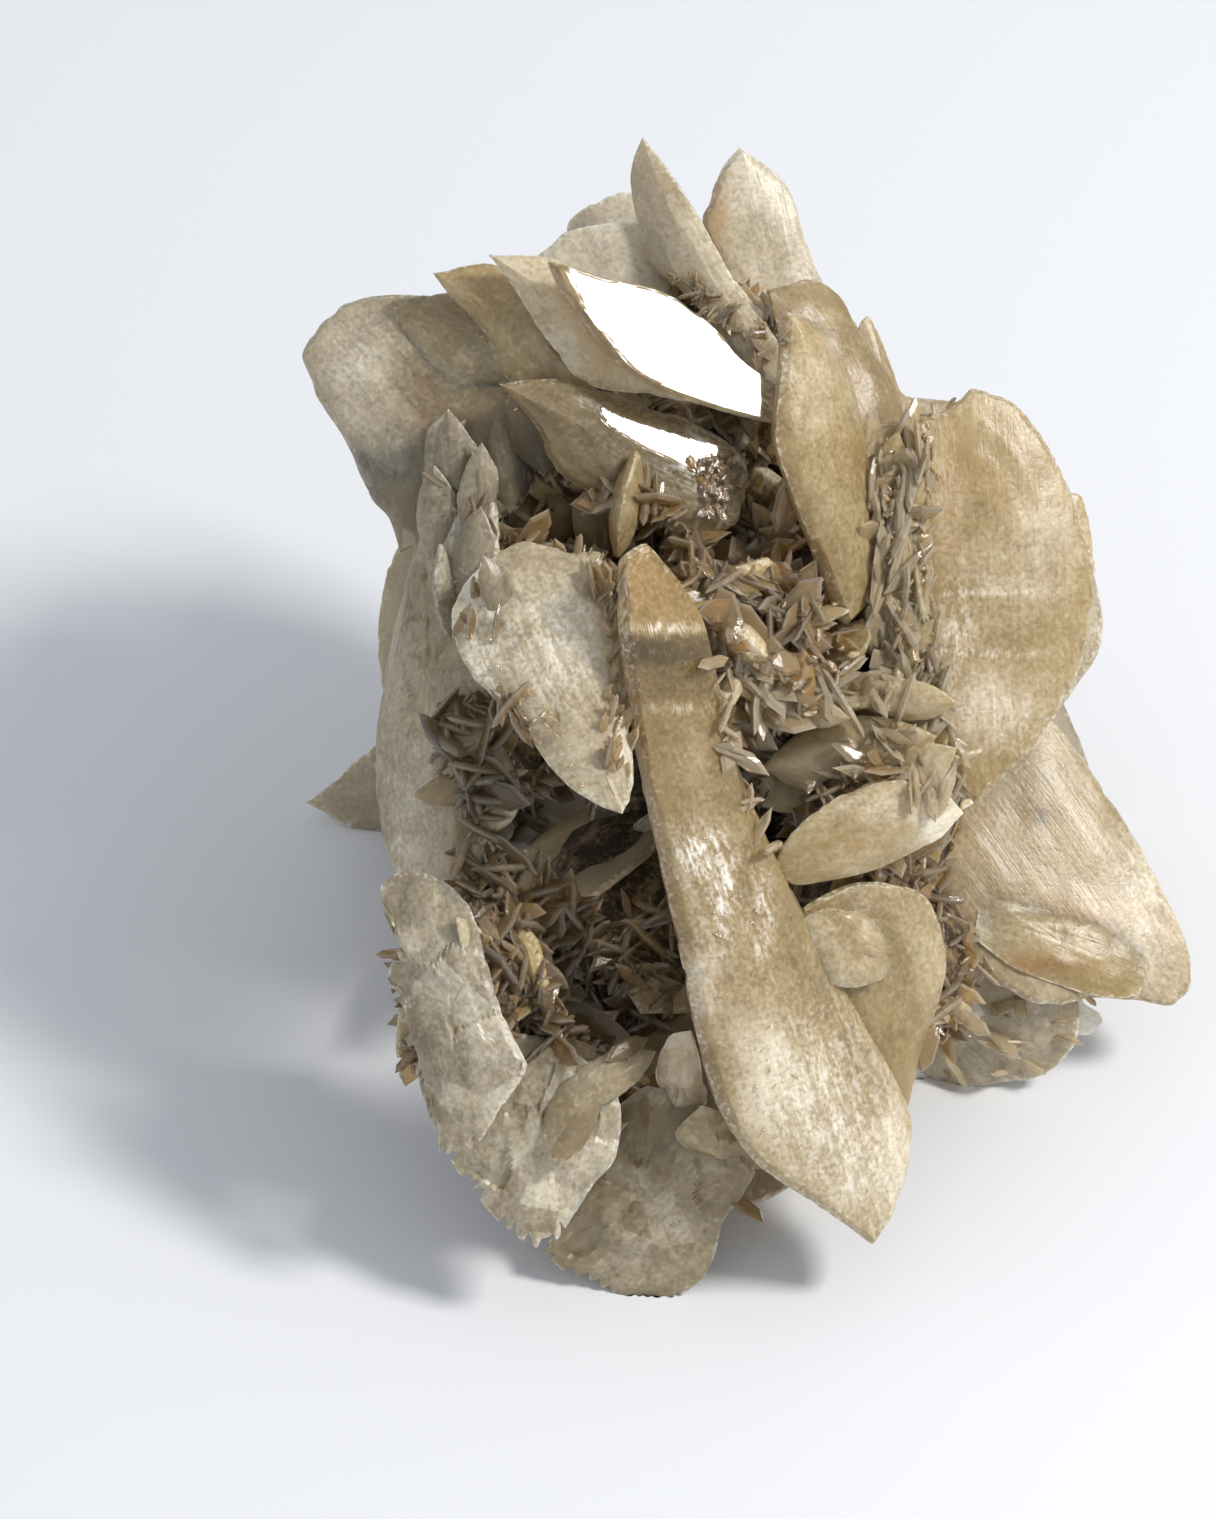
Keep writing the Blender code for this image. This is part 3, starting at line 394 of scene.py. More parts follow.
# %% Outlines of the curved rim of plates below
SKIRT = [
    dict(name="skirt_left", out=11.0, turn=-15, tip=-5, thick=2.8, honey=0.2, pale=0.5, teeth=0.6,
         scales=0.3, outline=[
        (-21.7, -10.6), (-22.6, -11.8), (-22.1, -13.6), (-21.3, -15.0), (-22.0, -16.6),
        (-21.7, -18.8), (-20.8, -21.6), (-19.8, -24.7), (-18.8, -28.1), (-16.7, -27.4),
        (-15.0, -25.0), (-13.4, -22.6), (-14.4, -20.6), (-15.4, -18.1), (-16.1, -15.6),
        (-17.2, -12.5), (-19.7, -10.6)]),
    dict(name="skirt_middle", out=8.2, turn=-8, tip=-5, thick=2.8, honey=0.35, pale=0.55, teeth=0.6,
         scales=0.32, outline=[
        (-18.4, -28.1), (-17.2, -30.0), (-15.3, -32.2), (-13.1, -33.8), (-11.8, -33.6),
        (-9.7, -30.3), (-8.0, -28.0), (-8.0, -24.0), (-11.0, -21.5), (-13.8, -20.6), (-16.3, -22.8)]),
    dict(name="skirt_front", out=4.2, turn=-5, tip=-20, thick=2.6, honey=0.4, pale=0.25, teeth=0.4,
         scales=0.34, outline=[
        (-12.5, -34.4), (-11.3, -35.6), (-9.7, -36.1), (-7.8, -37.2), (-5.2, -37.6), (-2.8, -36.1),
        (-1.9, -34.4), (-1.4, -32.4), (0.0, -30.5), (0.8, -29.1), (-0.3, -28.1), (-2.8, -25.0),
        (-6.0, -23.8), (-9.0, -26.3), (-10.9, -30.6)]),
    dict(name="rim", out=9.3, turn=0, tip=15, thick=1.9, honey=0.4, pale=0.2, outline=[
        (-11.8, -23.4), (-12.3, -24.7), (-12.5, -26.9), (-11.6, -28.8), (-10.0, -27.5),
        (-8.8, -25.3), (-6.6, -23.4), (-5.5, -21.7), (-7.8, -21.5), (-9.7, -22.3)]),
    dict(name="amber_nub", out=7.6, turn=-15, tip=-40, thick=1.9, scales=0.4, honey=1.0, pale=0.7, outline=[
        (-5.4, -21.9), (-5.6, -23.4), (-4.8, -25.0), (-4.6, -26.6), (-2.5, -25.0), (-2.8, -22.5),
        (-3.4, -20.3), (-4.7, -20.6)],
         spots=[(-4, -22.5, 3, 3, 0.5, -0.1, 0, 0.25, 0, 0)]),
    dict(name="grey_nub", out=6.6, turn=15, tip=-45, thick=1.9, scales=0.4, honey=0.6, pale=0.3, outline=[
        (-4.4, -26.6), (-4.1, -27.5), (-2.8, -28.1), (-0.6, -29.1), (1.3, -29.1), (0.3, -28.1),
        (-1.3, -25.6), (-2.8, -25.0)]),
]
print("drawn blades", sum(len(group) for group in (FAN, CROWN, RIGHT_SIDE, FRONT, LEFT_SIDE, SKIRT)))

# %% [markdown]
# The blades round the back are placed by their middle, the heading of their long axis, its
# rise above level and a roll about it. Their outline is a lens with slightly uneven corners.
# The rosettes are the crossing small blades that the large ones are rooted in.

# %% Blades round the back
BACK = [
    dict(name="back_fan_1", at=(-9, 15, 31), heading=118, rise=22, roll=68, long=32, wide=25, thick=3.0),
    dict(name="back_fan_2", at=(-5, 18, 28), heading=106, rise=14, roll=74, long=29, wide=24, thick=2.6),
    dict(name="back_fan_3", at=(-1, 19, 31), heading=94, rise=26, roll=80, long=26, wide=19, thick=2.4),
    dict(name="back_disc", at=(11, 15, 23), heading=58, rise=4, roll=38, long=32, wide=26, thick=3.0),
    dict(name="back_cross", at=(1, 17, 33), heading=72, rise=30, roll=15, long=25, wide=18, thick=2.4),
    dict(name="back_right", at=(11, 13, 27), heading=45, rise=12, roll=72, long=24, wide=18, thick=2.4),
    dict(name="back_left", at=(-15, 12, 27), heading=140, rise=20, roll=58, long=24, wide=20, thick=2.6),
    dict(name="back_left_top", at=(-15, 14, 38), heading=140, rise=30, roll=24,
         long=22, wide=16, thick=2.2),
    dict(name="low_back", at=(3, 16, 9), heading=84, rise=-34, roll=12, long=28, wide=24, thick=2.8),
    dict(name="low_back_left", at=(-13, 14, 10), heading=146, rise=-34, roll=36,
         long=28, wide=20, thick=2.6),
    dict(name="low_back_right", at=(15, 11, 10), heading=40, rise=-34, roll=58,
         long=26, wide=20, thick=2.6),
    dict(name="low_left", at=(-12, 2, 10), heading=196, rise=-30, roll=28, long=24, wide=18, thick=2.4),
    dict(name="low_front", at=(0, -9, 8), heading=262, rise=-18, roll=8, long=28, wide=20, thick=2.6),
    dict(name="low_right", at=(13, -4, 7.8), heading=330, rise=-32, roll=64, long=20, wide=15, thick=2.4),
]
BACK_SET_DOWN = np.array([0.10, -1.47, -0.8])
BACK_HONEY = (0.3, 0.5)     # the lowest and the span that is spread over the blades
BACK_PALE = (0.2, 0.4)
LEAF_SIDES = 12
LEAF_PINCH = 0.3
LEAF_UNEVEN = (0.90, 1.06)


def leaf_outline(long, wide, seed):
    """Lens outline pointed at both ends, with a slightly uneven edge."""
    chance = random.Random(seed)
    points = []
    for corner in range(LEAF_SIDES):
        angle = math.tau * corner / LEAF_SIDES
        pinch = abs(math.sin(angle)) ** LEAF_PINCH
        reach = chance.uniform(*LEAF_UNEVEN)
        points.append((long / 2 * math.cos(angle) * reach, wide / 2 * math.sin(angle) * pinch * reach))
    return np.array(points)


# %% [markdown]
# A blade becomes the same kind of record whichever way it was drawn: a middle, three axes
# (along its length, across it and out of its face) and its rim in that plane. The middle of a
# drawn outline is its centre of area, and its long axis the direction in which its corners
# spread most.

# %% From outlines to blades
def outline_middle(points):
    """Centre of area of a flat outline, from the cross products of its corners."""
    after = np.roll(points, -1, axis=0)
    cross = points[:, 0] * after[:, 1] - points[:, 1] * after[:, 0]
    return ((points + after) * cross[:, None]).sum(axis=0) / (3 * cross.sum()), cross.sum() / 2


def mirror_lean(place):
    """The direction halfway between those to the lamp and to the camera, from a place on the
    sheet. A facet that faces it shows the lamp."""
    lamp = (np.array(LAMP_AIM + LAMP_TOWARDS * LAMP_DISTANCE) / MM - SHEET_ORIGIN) @ SHEET_AXES.T
    ways = np.stack([lamp, [*PICTURE_MIDDLE[:2], CAMERA_DISTANCE]]) - place
    half_way = (ways / np.linalg.norm(ways, axis=1, keepdims=True)).sum(axis=0)
    return half_way / np.linalg.norm(half_way)


def drawn_blade(spec):
    """A blade drawn on the sheet, in the model's frame."""
    points = np.array(spec["outline"])
    middle, area = outline_middle(points)
    if area < 0:
        points = points[::-1]
    turn, tip = math.radians(spec["turn"]), math.radians(spec["tip"])
    normal = np.array([math.sin(turn) * math.cos(tip), math.sin(tip), math.cos(turn) * math.cos(tip)])
    offset = points - middle
    rim = np.column_stack([offset, -(offset @ normal[:2]) / normal[2]])
    along = np.linalg.svd(rim, full_matrices=False)[2][0]
    along = along * (1 if along[1] > 0 else -1)
    across = np.cross(normal, along)
    axes = np.stack([along, across, normal]) @ SHEET_AXES
    flat = np.column_stack([rim @ along, rim @ across])
    facets = []
    for place, lean, level in spec.get("facets", ()):
        if lean is TO_LAMP:
            lean = mirror_lean([*place, spec["out"]])
        place = np.subtract(place, middle)
        place = np.append(place, -(place @ normal[:2]) / normal[2])
        slopes = [-(np.array(lean) @ axis) / (np.array(lean) @ normal) for axis in (along, across)]
        facets.append((place @ along, place @ across, *slopes, level))
    return dict(spec, at=from_sheet([*middle, spec["out"]]), axes=axes, rim=flat, facets=facets)


def placed_blade(spec, seed):
    """A blade round the back, from its middle and three angles."""
    turn = Matrix.Rotation(math.radians(spec["heading"]), 3, "Z")
    turn = turn @ Matrix.Rotation(math.radians(-spec["rise"]), 3, "Y")
    turn = turn @ Matrix.Rotation(math.radians(spec["roll"]), 3, "X")
    axes = np.array(turn.transposed())
    honey = BACK_HONEY[0] + BACK_HONEY[1] * (seed * 7 % 10) / 10
    pale = BACK_PALE[0] + BACK_PALE[1] * (seed * 3 % 10) / 10
    rim = leaf_outline(spec["long"], spec["wide"], seed)
    return dict(spec, at=np.array(spec["at"]) + BACK_SET_DOWN, axes=axes, rim=rim, honey=honey, pale=pale)


GROUPS = {name: [drawn_blade(spec) for spec in specs] for name, specs in {
    "fan_blades": FAN, "crown_blades": CROWN, "right_blades": RIGHT_SIDE,
    "front_blades": FRONT, "left_blades": LEFT_SIDE, "skirt_blades": SKIRT}.items()}
GROUPS["back_blades"] = [placed_blade(spec, seed) for seed, spec in enumerate(BACK)]
print({name: len(blades) for name, blades in GROUPS.items()})

# %% [markdown]
# The drawn rims are corners joined by straight lines. A grown crystal has long smooth curves
# that meet in a few sharp points. So each side becomes a cubic curve whose end directions
# follow the neighbouring corners, and at a sharp corner that direction's pull fades to
# nothing, which keeps the point. Small chips then bite into the rim, never out of it.

# %% Smooth rims
SOFT_BEND = math.radians(35)    # up to this bend a corner is rounded in full
SHARP_BEND = math.radians(80)   # from this bend on it is a point
CHIP_SIZE = 1.3
CHIP_LEVEL = 0.15               # noise below this level leaves the rim whole
FINE_CHIP_SIZE = 0.45
FINE_CHIP_LEVEL = 0.1
FINE_CHIP_DEPTH = 0.4           # share of the large chips' depth
TOOTH_PITCH = 1.15
TOOTH_GAP = 0.42                # share of the pitch
TOOTH_SIDE = 0.1                # cosine to the outer side from which teeth begin
TOOTH_WANDER = 1.1              # in pitches
WANDER_SIZE = 1.5


def smooth_rim(corners, count):
    """Closed curve through the corners with evenly spaced points: on each side the cubic
    Hermite blend of its two corners and of their directions times the side's length."""
    before, after = np.roll(corners, 1, axis=0), np.roll(corners, -1, axis=0)
    came, goes = corners - before, after - corners
    bend = np.abs(np.angle((goes @ [1, 1j]) / (came @ [1, 1j])))
    pull = np.clip((SHARP_BEND - bend) / (SHARP_BEND - SOFT_BEND), 0, 1)
    heading = after - before
    heading *= (pull / np.linalg.norm(heading, axis=1))[:, None]
    lengths = np.linalg.norm(goes, axis=1)
    travelled = np.concatenate([[0], np.cumsum(lengths)])
    place = np.interp(np.arange(count) / count * travelled[-1], travelled, np.arange(len(corners) + 1))
    side = place.astype(int) % len(corners)
    t = (place - place.astype(int))[:, None]
    end = (side + 1) % len(corners)
    reach = lengths[side][:, None]
    return ((2 * t**3 - 3 * t**2 + 1) * corners[side] + (t**3 - 2 * t**2 + t) * heading[side] * reach
            + (3 * t**2 - 2 * t**3) * corners[end] + (t**3 - t**2) * heading[end] * reach)


def bitten(rim, seed, depth, teeth, outer):
    """How far each point of the rim moves towards the middle: by noise that is cut off below,
    so that most of the rim stays as it grew. teeth is the depth of small square notches on the
    side that the direction outer points to, and their pitch wanders with more noise."""
    fine = np.clip(flat_noise(*rim.T, FINE_CHIP_SIZE, seed + 1) - FINE_CHIP_LEVEL, 0, 1)
    bite = np.clip(flat_noise(*rim.T, CHIP_SIZE, seed) - CHIP_LEVEL, 0, 1) + FINE_CHIP_DEPTH * fine
    reach = np.linalg.norm(rim, axis=1)
    side = np.linalg.norm(np.diff(rim, axis=0, append=rim[:1]), axis=1)
    step = np.cumsum(side) / TOOTH_PITCH + TOOTH_WANDER * flat_noise(*rim.T, WANDER_SIZE, seed + 2)
    notch = (step % 1 < TOOTH_GAP) * ((rim @ outer) / reach > TOOTH_SIDE)
    return -rim * ((depth * bite + teeth * notch) / reach)[:, None]


sample = smooth_rim(GROUPS["front_blades"][0]["rim"], 200)
print("front blade is", np.ptp(sample, axis=0).round(1), "mm")

# %% [markdown]
# One function gives every blade its surface. The two parameters are the way round the rim and
# the way in from the rim to the middle. A gypsum lens has two nearly flat faces that meet the
# rim in a narrow slanting band. So the last rows keep fixed distances from the rim and climb
# the band in a straight line, and the rest shrink evenly towards the middle. The crease
# between them stays crisp, because a row of points lies right on it. On the face come waves,
# growth layers that end in low steps roughly parallel to the rim, fine terraces along the
# blade, and flat facets where the crystal split along its cleavage.

# %% Terraces and scales
TERRACE_HEIGHT = 0.035
TERRACE_PITCH = 0.9
TERRACE_RAMP = 0.25         # share of the pitch
TERRACE_WANDER = 0.5        # in pitches
TERRACE_WANDER_SIZE = 7.0
SCALE_PITCH = 2.6
SCALE_JITTER = 0.45         # share of the pitch
SCALE_DEEPEST = -1.5
FINE_SCALE_HEIGHT = 0.3     # share of the large scales' height
FINE_SCALE_PITCH = 0.4      # share of the large scales' pitch


def terraces(x, y, pitch, seed):
    """Level steps of random height across a blade, each with a short ramp to the next. They
    wander a little with slow noise along the blade."""
    place = y / pitch + TERRACE_WANDER * flat_noise(x, y, TERRACE_WANDER_SIZE, seed)
    step = np.floor(place)
    ramp = np.clip((place - step) / TERRACE_RAMP, 0, 1)
    heights = [lattice_values(np.stack([step + k, step * 0, step * 0], -1).astype(np.int64), seed)
               for k in (-1, 0)]
    return heights[0] * (1 - ramp) + heights[1] * ramp


def scale_relief(x, y, pitch, seed):
    """Overlapping scales: each point belongs to the nearest of a jittered grid of seeds, and a
    scale is a plane with its own small tilt and level through its seed."""
    chance = np.random.default_rng(seed)
    sides = [np.arange(values.min() - pitch, values.max() + pitch, pitch) for values in (x, y)]
    seeds = np.stack(np.meshgrid(*sides), -1).reshape(-1, 2)
    seeds = seeds + chance.uniform(-SCALE_JITTER, SCALE_JITTER, seeds.shape) * pitch
    places = np.stack([x, y], -1).reshape(-1, 2)
    nearest = np.argmin(((places[:, None] - seeds[None]) ** 2).sum(-1), axis=1)
    tilt = chance.uniform(-1, 1, seeds.shape)[nearest]
    level = chance.uniform(-1, 0, len(seeds))[nearest]
    plane = ((places - seeds[nearest]) * tilt).sum(-1) / pitch
    return np.clip(level + plane, SCALE_DEEPEST, 0).reshape(x.shape)


print("terraces every", TERRACE_PITCH, "mm and scales every", SCALE_PITCH, "mm")

# %% The face of a blade
DOME_FALL = 0.50            # share of the half thickness that the face falls towards the rim
DOME_POWER = 3.0
WAVE_HEIGHT = 0.10
WAVE_SIZE = 0.35            # share of the blade's size
RIPPLE_HEIGHT = 0.05
RIPPLE_SIZE = 1.6
LAYER_HEIGHT = 0.10
LAYER_PLACES = (0.55, 0.78)
LAYER_RAMP = 0.04
LAYER_WANDER = 0.16
LAYER_WANDER_SIZE = 0.5     # share of the blade's size
FULL_RELIEF = 2.4           # thinner blades have lower relief
BAND_SLOPE = 1.5
BAND_UNEVEN = 0.25          # share by which the band's slope wanders
BAND_UNEVEN_SIZE = 0.9
EDGE_HALF = 0.06
EDGE_LEAST = 0.03


def face_height(blade, x, y, r, inward, seed, facets):
    """Height of one face above the blade's middle plane, and 1 where a facet cuts it. The
    face is a dome, half the thickness times 1 - fall * r cubed, less waves, layers and
    terraces, which only ever lower it. The band at the rim is the slope times the distance
    inward, and the lower of the two counts."""
    size = math.sqrt(np.abs(x).max() * np.abs(y).max())
    relief = WAVE_HEIGHT * (flat_noise(x, y, WAVE_SIZE * size, seed) - 1)
    relief = relief + RIPPLE_HEIGHT * (flat_noise(x, y, RIPPLE_SIZE, seed + 1) - 1)
    relief += blade.get("step", TERRACE_HEIGHT) * (terraces(x, y, TERRACE_PITCH, seed + 2) - 1)
    for number, place in enumerate(LAYER_PLACES):
        contour = place + LAYER_WANDER * flat_noise(x, y, LAYER_WANDER_SIZE * size, seed + 5 + number)
        relief -= blade.get("layer", LAYER_HEIGHT) * np.clip((r - contour) / LAYER_RAMP, 0, 1)
    if "scales" in blade:
        fine = scale_relief(x, y, SCALE_PITCH * FINE_SCALE_PITCH, seed + 3)
        relief += blade["scales"] * scale_relief(x, y, SCALE_PITCH, seed)
        relief += blade["scales"] * FINE_SCALE_HEIGHT * fine
    dome = 1 - blade.get("fall", DOME_FALL) * r**DOME_POWER
    face = blade["thick"] / 2 * dome + relief * min(1.0, blade["thick"] / FULL_RELIEF)
    rough_band = 1 + BAND_UNEVEN * flat_noise(x, y, BAND_UNEVEN_SIZE, seed + 9)
    height = np.minimum(face, EDGE_HALF + BAND_SLOPE * inward * rough_band)
    cut = np.zeros_like(x)
    for u, v, slope_u, slope_v, level in facets:
        plane = level + slope_u * (x - u) + slope_v * (y - v)
        cut = np.where(plane < height, 1.0, cut)
        height = np.minimum(height, plane)
    return np.maximum(height, EDGE_LEAST), cut


print("a face falls", DOME_FALL, "of its half height towards the rim")

# %% The closed surface of a blade
FEWEST_COLUMNS = 24
FEWEST_ROWS = 3
BAND_ROWS = 3
BAND_MOST = 0.4             # the band's width never passes this share of the way in
CHIP_DEPTH = 0.35
BITE_POWER = 9              # how fast a bite out of the rim fades towards the middle
OUTER_SIDE = (-0.93, -0.37, 0)      # on the sheet, where the curved rim has its teeth
BACK_SEED = 50              # between the noise of the front face and that of the back


def blade_surface(blade, seed, spacing):
    """Closed surface of one blade: rows run from the middle of the front face over the rim to
    the middle of the back face, columns round the rim. Returns the places, how far out each
    lies (1 at the rim), where facets cut, and the counts of columns and rows."""
    length = np.linalg.norm(np.diff(blade["rim"], axis=0, append=blade["rim"][:1]), axis=1).sum()
    columns = max(FEWEST_COLUMNS, int(length / spacing))
    rim = smooth_rim(blade["rim"], columns)
    outer = blade["axes"][:2] @ (np.array(blade.get("outer", OUTER_SIDE)) @ SHEET_AXES)
    bites = bitten(rim, seed, blade.get("chip", CHIP_DEPTH), blade.get("teeth", 0.0), outer)
    reach = np.linalg.norm(rim, axis=1)
    rim_half = blade["thick"] / 2 * (1 - blade.get("fall", DOME_FALL))
    band = np.minimum(rim_half / BAND_SLOPE, BAND_MOST * reach) / reach
    inner = max(FEWEST_ROWS, int((reach.mean() * (1 - band.mean())) / spacing))
    shrink = np.linspace(0, 1, inner + 1)[1:, None] * (1 - band)
    climb = 1 - band * np.linspace(1, 0, BAND_ROWS + 1)[1:, None]
    r = np.concatenate([shrink, climb])
    x, y = (rim[:, k] * r + bites[:, k] * r**BITE_POWER for k in (0, 1))
    inward = reach * (1 - r)
    front, cut = face_height(blade, x, y, r, inward, seed, blade.get("facets", ()))
    back, _ = face_height(blade, x, y, r, inward, seed + BACK_SEED, ())
    places = np.concatenate([
        [[0, 0, front[0].mean()]], np.stack([x, y, front], -1).reshape(-1, 3),
        np.stack([x, y, -back], -1)[-2::-1].reshape(-1, 3), [[0, 0, -back[0].mean()]]])
    way = np.concatenate([[0], r.ravel(), r[-2::-1].ravel(), [0]])
    cuts = np.concatenate([cut[0, :1], cut.ravel(), np.zeros(cut[:-1].size + 1)])
    return places, way, cuts, columns, 2 * len(r) - 1


def band_faces(columns, rows):
    """Faces of rows of points round an axis, closed by a point at each end."""
    here = np.arange(columns)
    beside = (here + 1) % columns
    first = 1 + here
    quads = np.stack([first, 1 + beside, 1 + beside + columns, first + columns][::-1], -1)
    quads = (quads[None] + columns * np.arange(rows - 1)[:, None, None]).reshape(-1, 4)
    top = np.stack([1 + beside, first, np.zeros_like(here)][::-1], -1)
    last = 1 + columns * (rows - 1)
    bottom = np.stack([last + here, last + beside, np.full_like(here, last + columns)][::-1], -1)
    return quads, np.concatenate([top, bottom])


places, way, cuts, columns, rows = blade_surface(GROUPS["front_blades"][0], 1, 0.4)
print("front blade:", columns, "columns,", rows, "rows")

# %% [markdown]
# A group of blades is joined into one mesh. Each point also carries what the material wants to
# know: its place in the blade's own plane, so that growth lines follow the crystal, how far out
# it lies, and the blade's own honey, pale and gloss. The mesh is clipped to the solid's box,
# which only flattens the very tips, and to the floor.

# %% Joining surfaces into pieces
LIMITS = np.array(cad_box) / MM
SHARP_FOLD = 32         # degrees


class Gathering:
    """Collects closed surfaces with their point values, and makes them one mesh."""

    def __init__(self):
        self.points, self.quads, self.triangles, self.values = [], [], [], []
        self.count = 0

    def add(self, points, quads, triangles, grain, values):
        """points in mm in the model's frame; grain and values for each point."""
        self.points.append(points)
        self.quads.append(quads + self.count)
        self.triangles.append(triangles + self.count)
        self.values.append(np.column_stack([grain, values]))
        self.count += len(points)

    def piece(self, name, material, smooth=True):
        """The mesh object, with the point values as attributes named grain, look and mark."""
        points = np.clip(np.concatenate(self.points), LIMITS[0], LIMITS[1])
        quads, triangles = np.concatenate(self.quads), np.concatenate(self.triangles)
        corners = np.concatenate([quads.ravel(), triangles.ravel()]).astype(np.int32)
        starts = np.concatenate([np.arange(len(quads)) * 4, len(quads) * 4 + np.arange(len(triangles)) * 3])
        mesh = bpy.data.meshes.new(name)
        mesh.vertices.add(len(points))
        mesh.vertices.foreach_set("co", (points * MM).ravel())
        mesh.loops.add(len(corners))
        mesh.loops.foreach_set("vertex_index", corners)
        mesh.polygons.add(len(starts))
        mesh.polygons.foreach_set("loop_start", starts.astype(np.int32))
        values = np.concatenate(self.values)
        for label, block in (("grain", values[:, :3]), ("look", values[:, 3:6]), ("mark", values[:, 6:9])):
            layer = mesh.attributes.new(label, "FLOAT_VECTOR", "POINT")
            layer.data.foreach_set("vector", block.astype(np.float32).ravel())
        mesh.update(calc_edges=True)
        mesh.validate()
        if smooth:
            mesh.shade_smooth()
            mesh.set_sharp_from_angle(angle=math.radians(SHARP_FOLD))
        else:
            mesh.shade_flat()
        mesh.materials.append(material)
        piece = bpy.data.objects.new(name, mesh)
        bpy.context.scene.collection.objects.link(piece)
        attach(piece, "root")
        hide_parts("crystal_cluster")
        print(name, "has", len(quads) * 2 + len(triangles), "triangles")
        return piece


# %% [markdown]
# Shader maths reads best as plain expressions. A small class wraps a node's output socket, and
# its operators add Math nodes, so that 1 - mask means what it says. Every other node comes from
# one method, which sets the node's settings first and then its inputs, to values or links.

# %% Sockets as numbers
class Signal:
    """An output socket in a material, with operators that add Math nodes."""

    def __init__(self, recipe, socket):
        self.recipe, self.socket = recipe, socket

    def maths(self, operation, *others):
        """A Math node of an operation."""
        return self.recipe.node("Math", dict(operation=operation), *others)

    def __add__(self, other):
        return self.maths("ADD", self, other)

    def __radd__(self, other):
        return self.maths("ADD", other, self)

    def __sub__(self, other):
        return self.maths("SUBTRACT", self, other)

    def __rsub__(self, other):
        return self.maths("SUBTRACT", other, self)

    def __mul__(self, other):
        return self.maths("MULTIPLY", self, other)

    def __rmul__(self, other):
        return self.maths("MULTIPLY", other, self)

    def between(self, low, high):
        """0 below low, 1 above high and smooth in between. low may be the larger one."""
        return self.recipe.node("MapRange", dict(interpolation_type="SMOOTHSTEP"), self, low, high)


# %% Materials as recipes
class Recipe:
    """One material: a Principled shader and the nodes that feed it."""

    def __init__(self, name):
        self.material = bpy.data.materials.new(name)
        self.material.use_nodes = True
        self.tree = self.material.node_tree
        self.shader = self.tree.nodes["Principled BSDF"]

    def node(self, kind, settings=None, *values, out=0, **named):
        """A node of a kind: its settings, then its inputs by place and by name."""
        node = self.tree.nodes.new("ShaderNode" + kind)
        for key, value in (settings or {}).items():
            setattr(node, key, value)
        for socket, value in zip(node.inputs, values):
            self.feed(socket, value)
        for key, value in named.items():
            self.feed(node.inputs[key], value)
        return Signal(self, node.outputs[out])

    def feed(self, socket, value):
        """Links a signal to a socket, or sets its value."""
        if isinstance(value, Signal):
            self.tree.links.new(value.socket, socket)
        else:
            socket.default_value = value

    def set(self, **inputs):
        """Feeds the Principled shader's own sockets. _ stands for a space."""
        for key, value in inputs.items():
            self.feed(self.shader.inputs[key.replace("_", " ")], value)

    def second(self):
        """Starts a second Principled shader, which set() feeds from now on. Returns it."""
        self.first, self.shader = self.shader, self.tree.nodes.new("ShaderNodeBsdfPrincipled")
        return self.shader

    def join(self, glass, factor):
        """Mixes the two shaders: the second one where factor is 0, the first where it is 1."""
        mixer = self.tree.nodes.new("ShaderNodeMixShader")
        self.feed(mixer.inputs[0], factor)
        self.tree.links.new(glass.outputs[0], mixer.inputs[1])
        self.tree.links.new(self.first.outputs[0], mixer.inputs[2])
        self.tree.links.new(mixer.outputs[0], self.tree.nodes["Material Output"].inputs["Surface"])

    def mix(self, factor, first, second):
        """Colour mix: first where factor is 0, second where it is 1."""
        node = self.tree.nodes.new("ShaderNodeMix")
        node.data_type = "RGBA"
        for place, value in ((0, factor), (6, first), (7, second)):
            self.feed(node.inputs[place], value)
        return Signal(self, node.outputs[2])

    def attribute(self, name):
        """The three numbers of a point attribute, and the attribute as a vector."""
        vector = self.node("Attribute", dict(attribute_name=name), out="Vector")
        split = self.tree.nodes.new("ShaderNodeSeparateXYZ")
        self.feed(split.inputs[0], vector)
        return [Signal(self, output) for output in split.outputs] + [vector]

    def stretched(self, vector, size):
        """A vector times size along each axis."""
        return self.node("VectorMath", dict(operation="MULTIPLY"), vector, size)

    def larger(self, first, second):
        """The larger of two numbers."""
        return self.node("Math", dict(operation="MAXIMUM"), first, second)

    def noise(self, vector, scale, detail, rough=0.5):
        """Noise texture's value at a vector."""
        return self.node("TexNoise", None, Vector=vector, Scale=scale, Detail=detail, Roughness=rough)
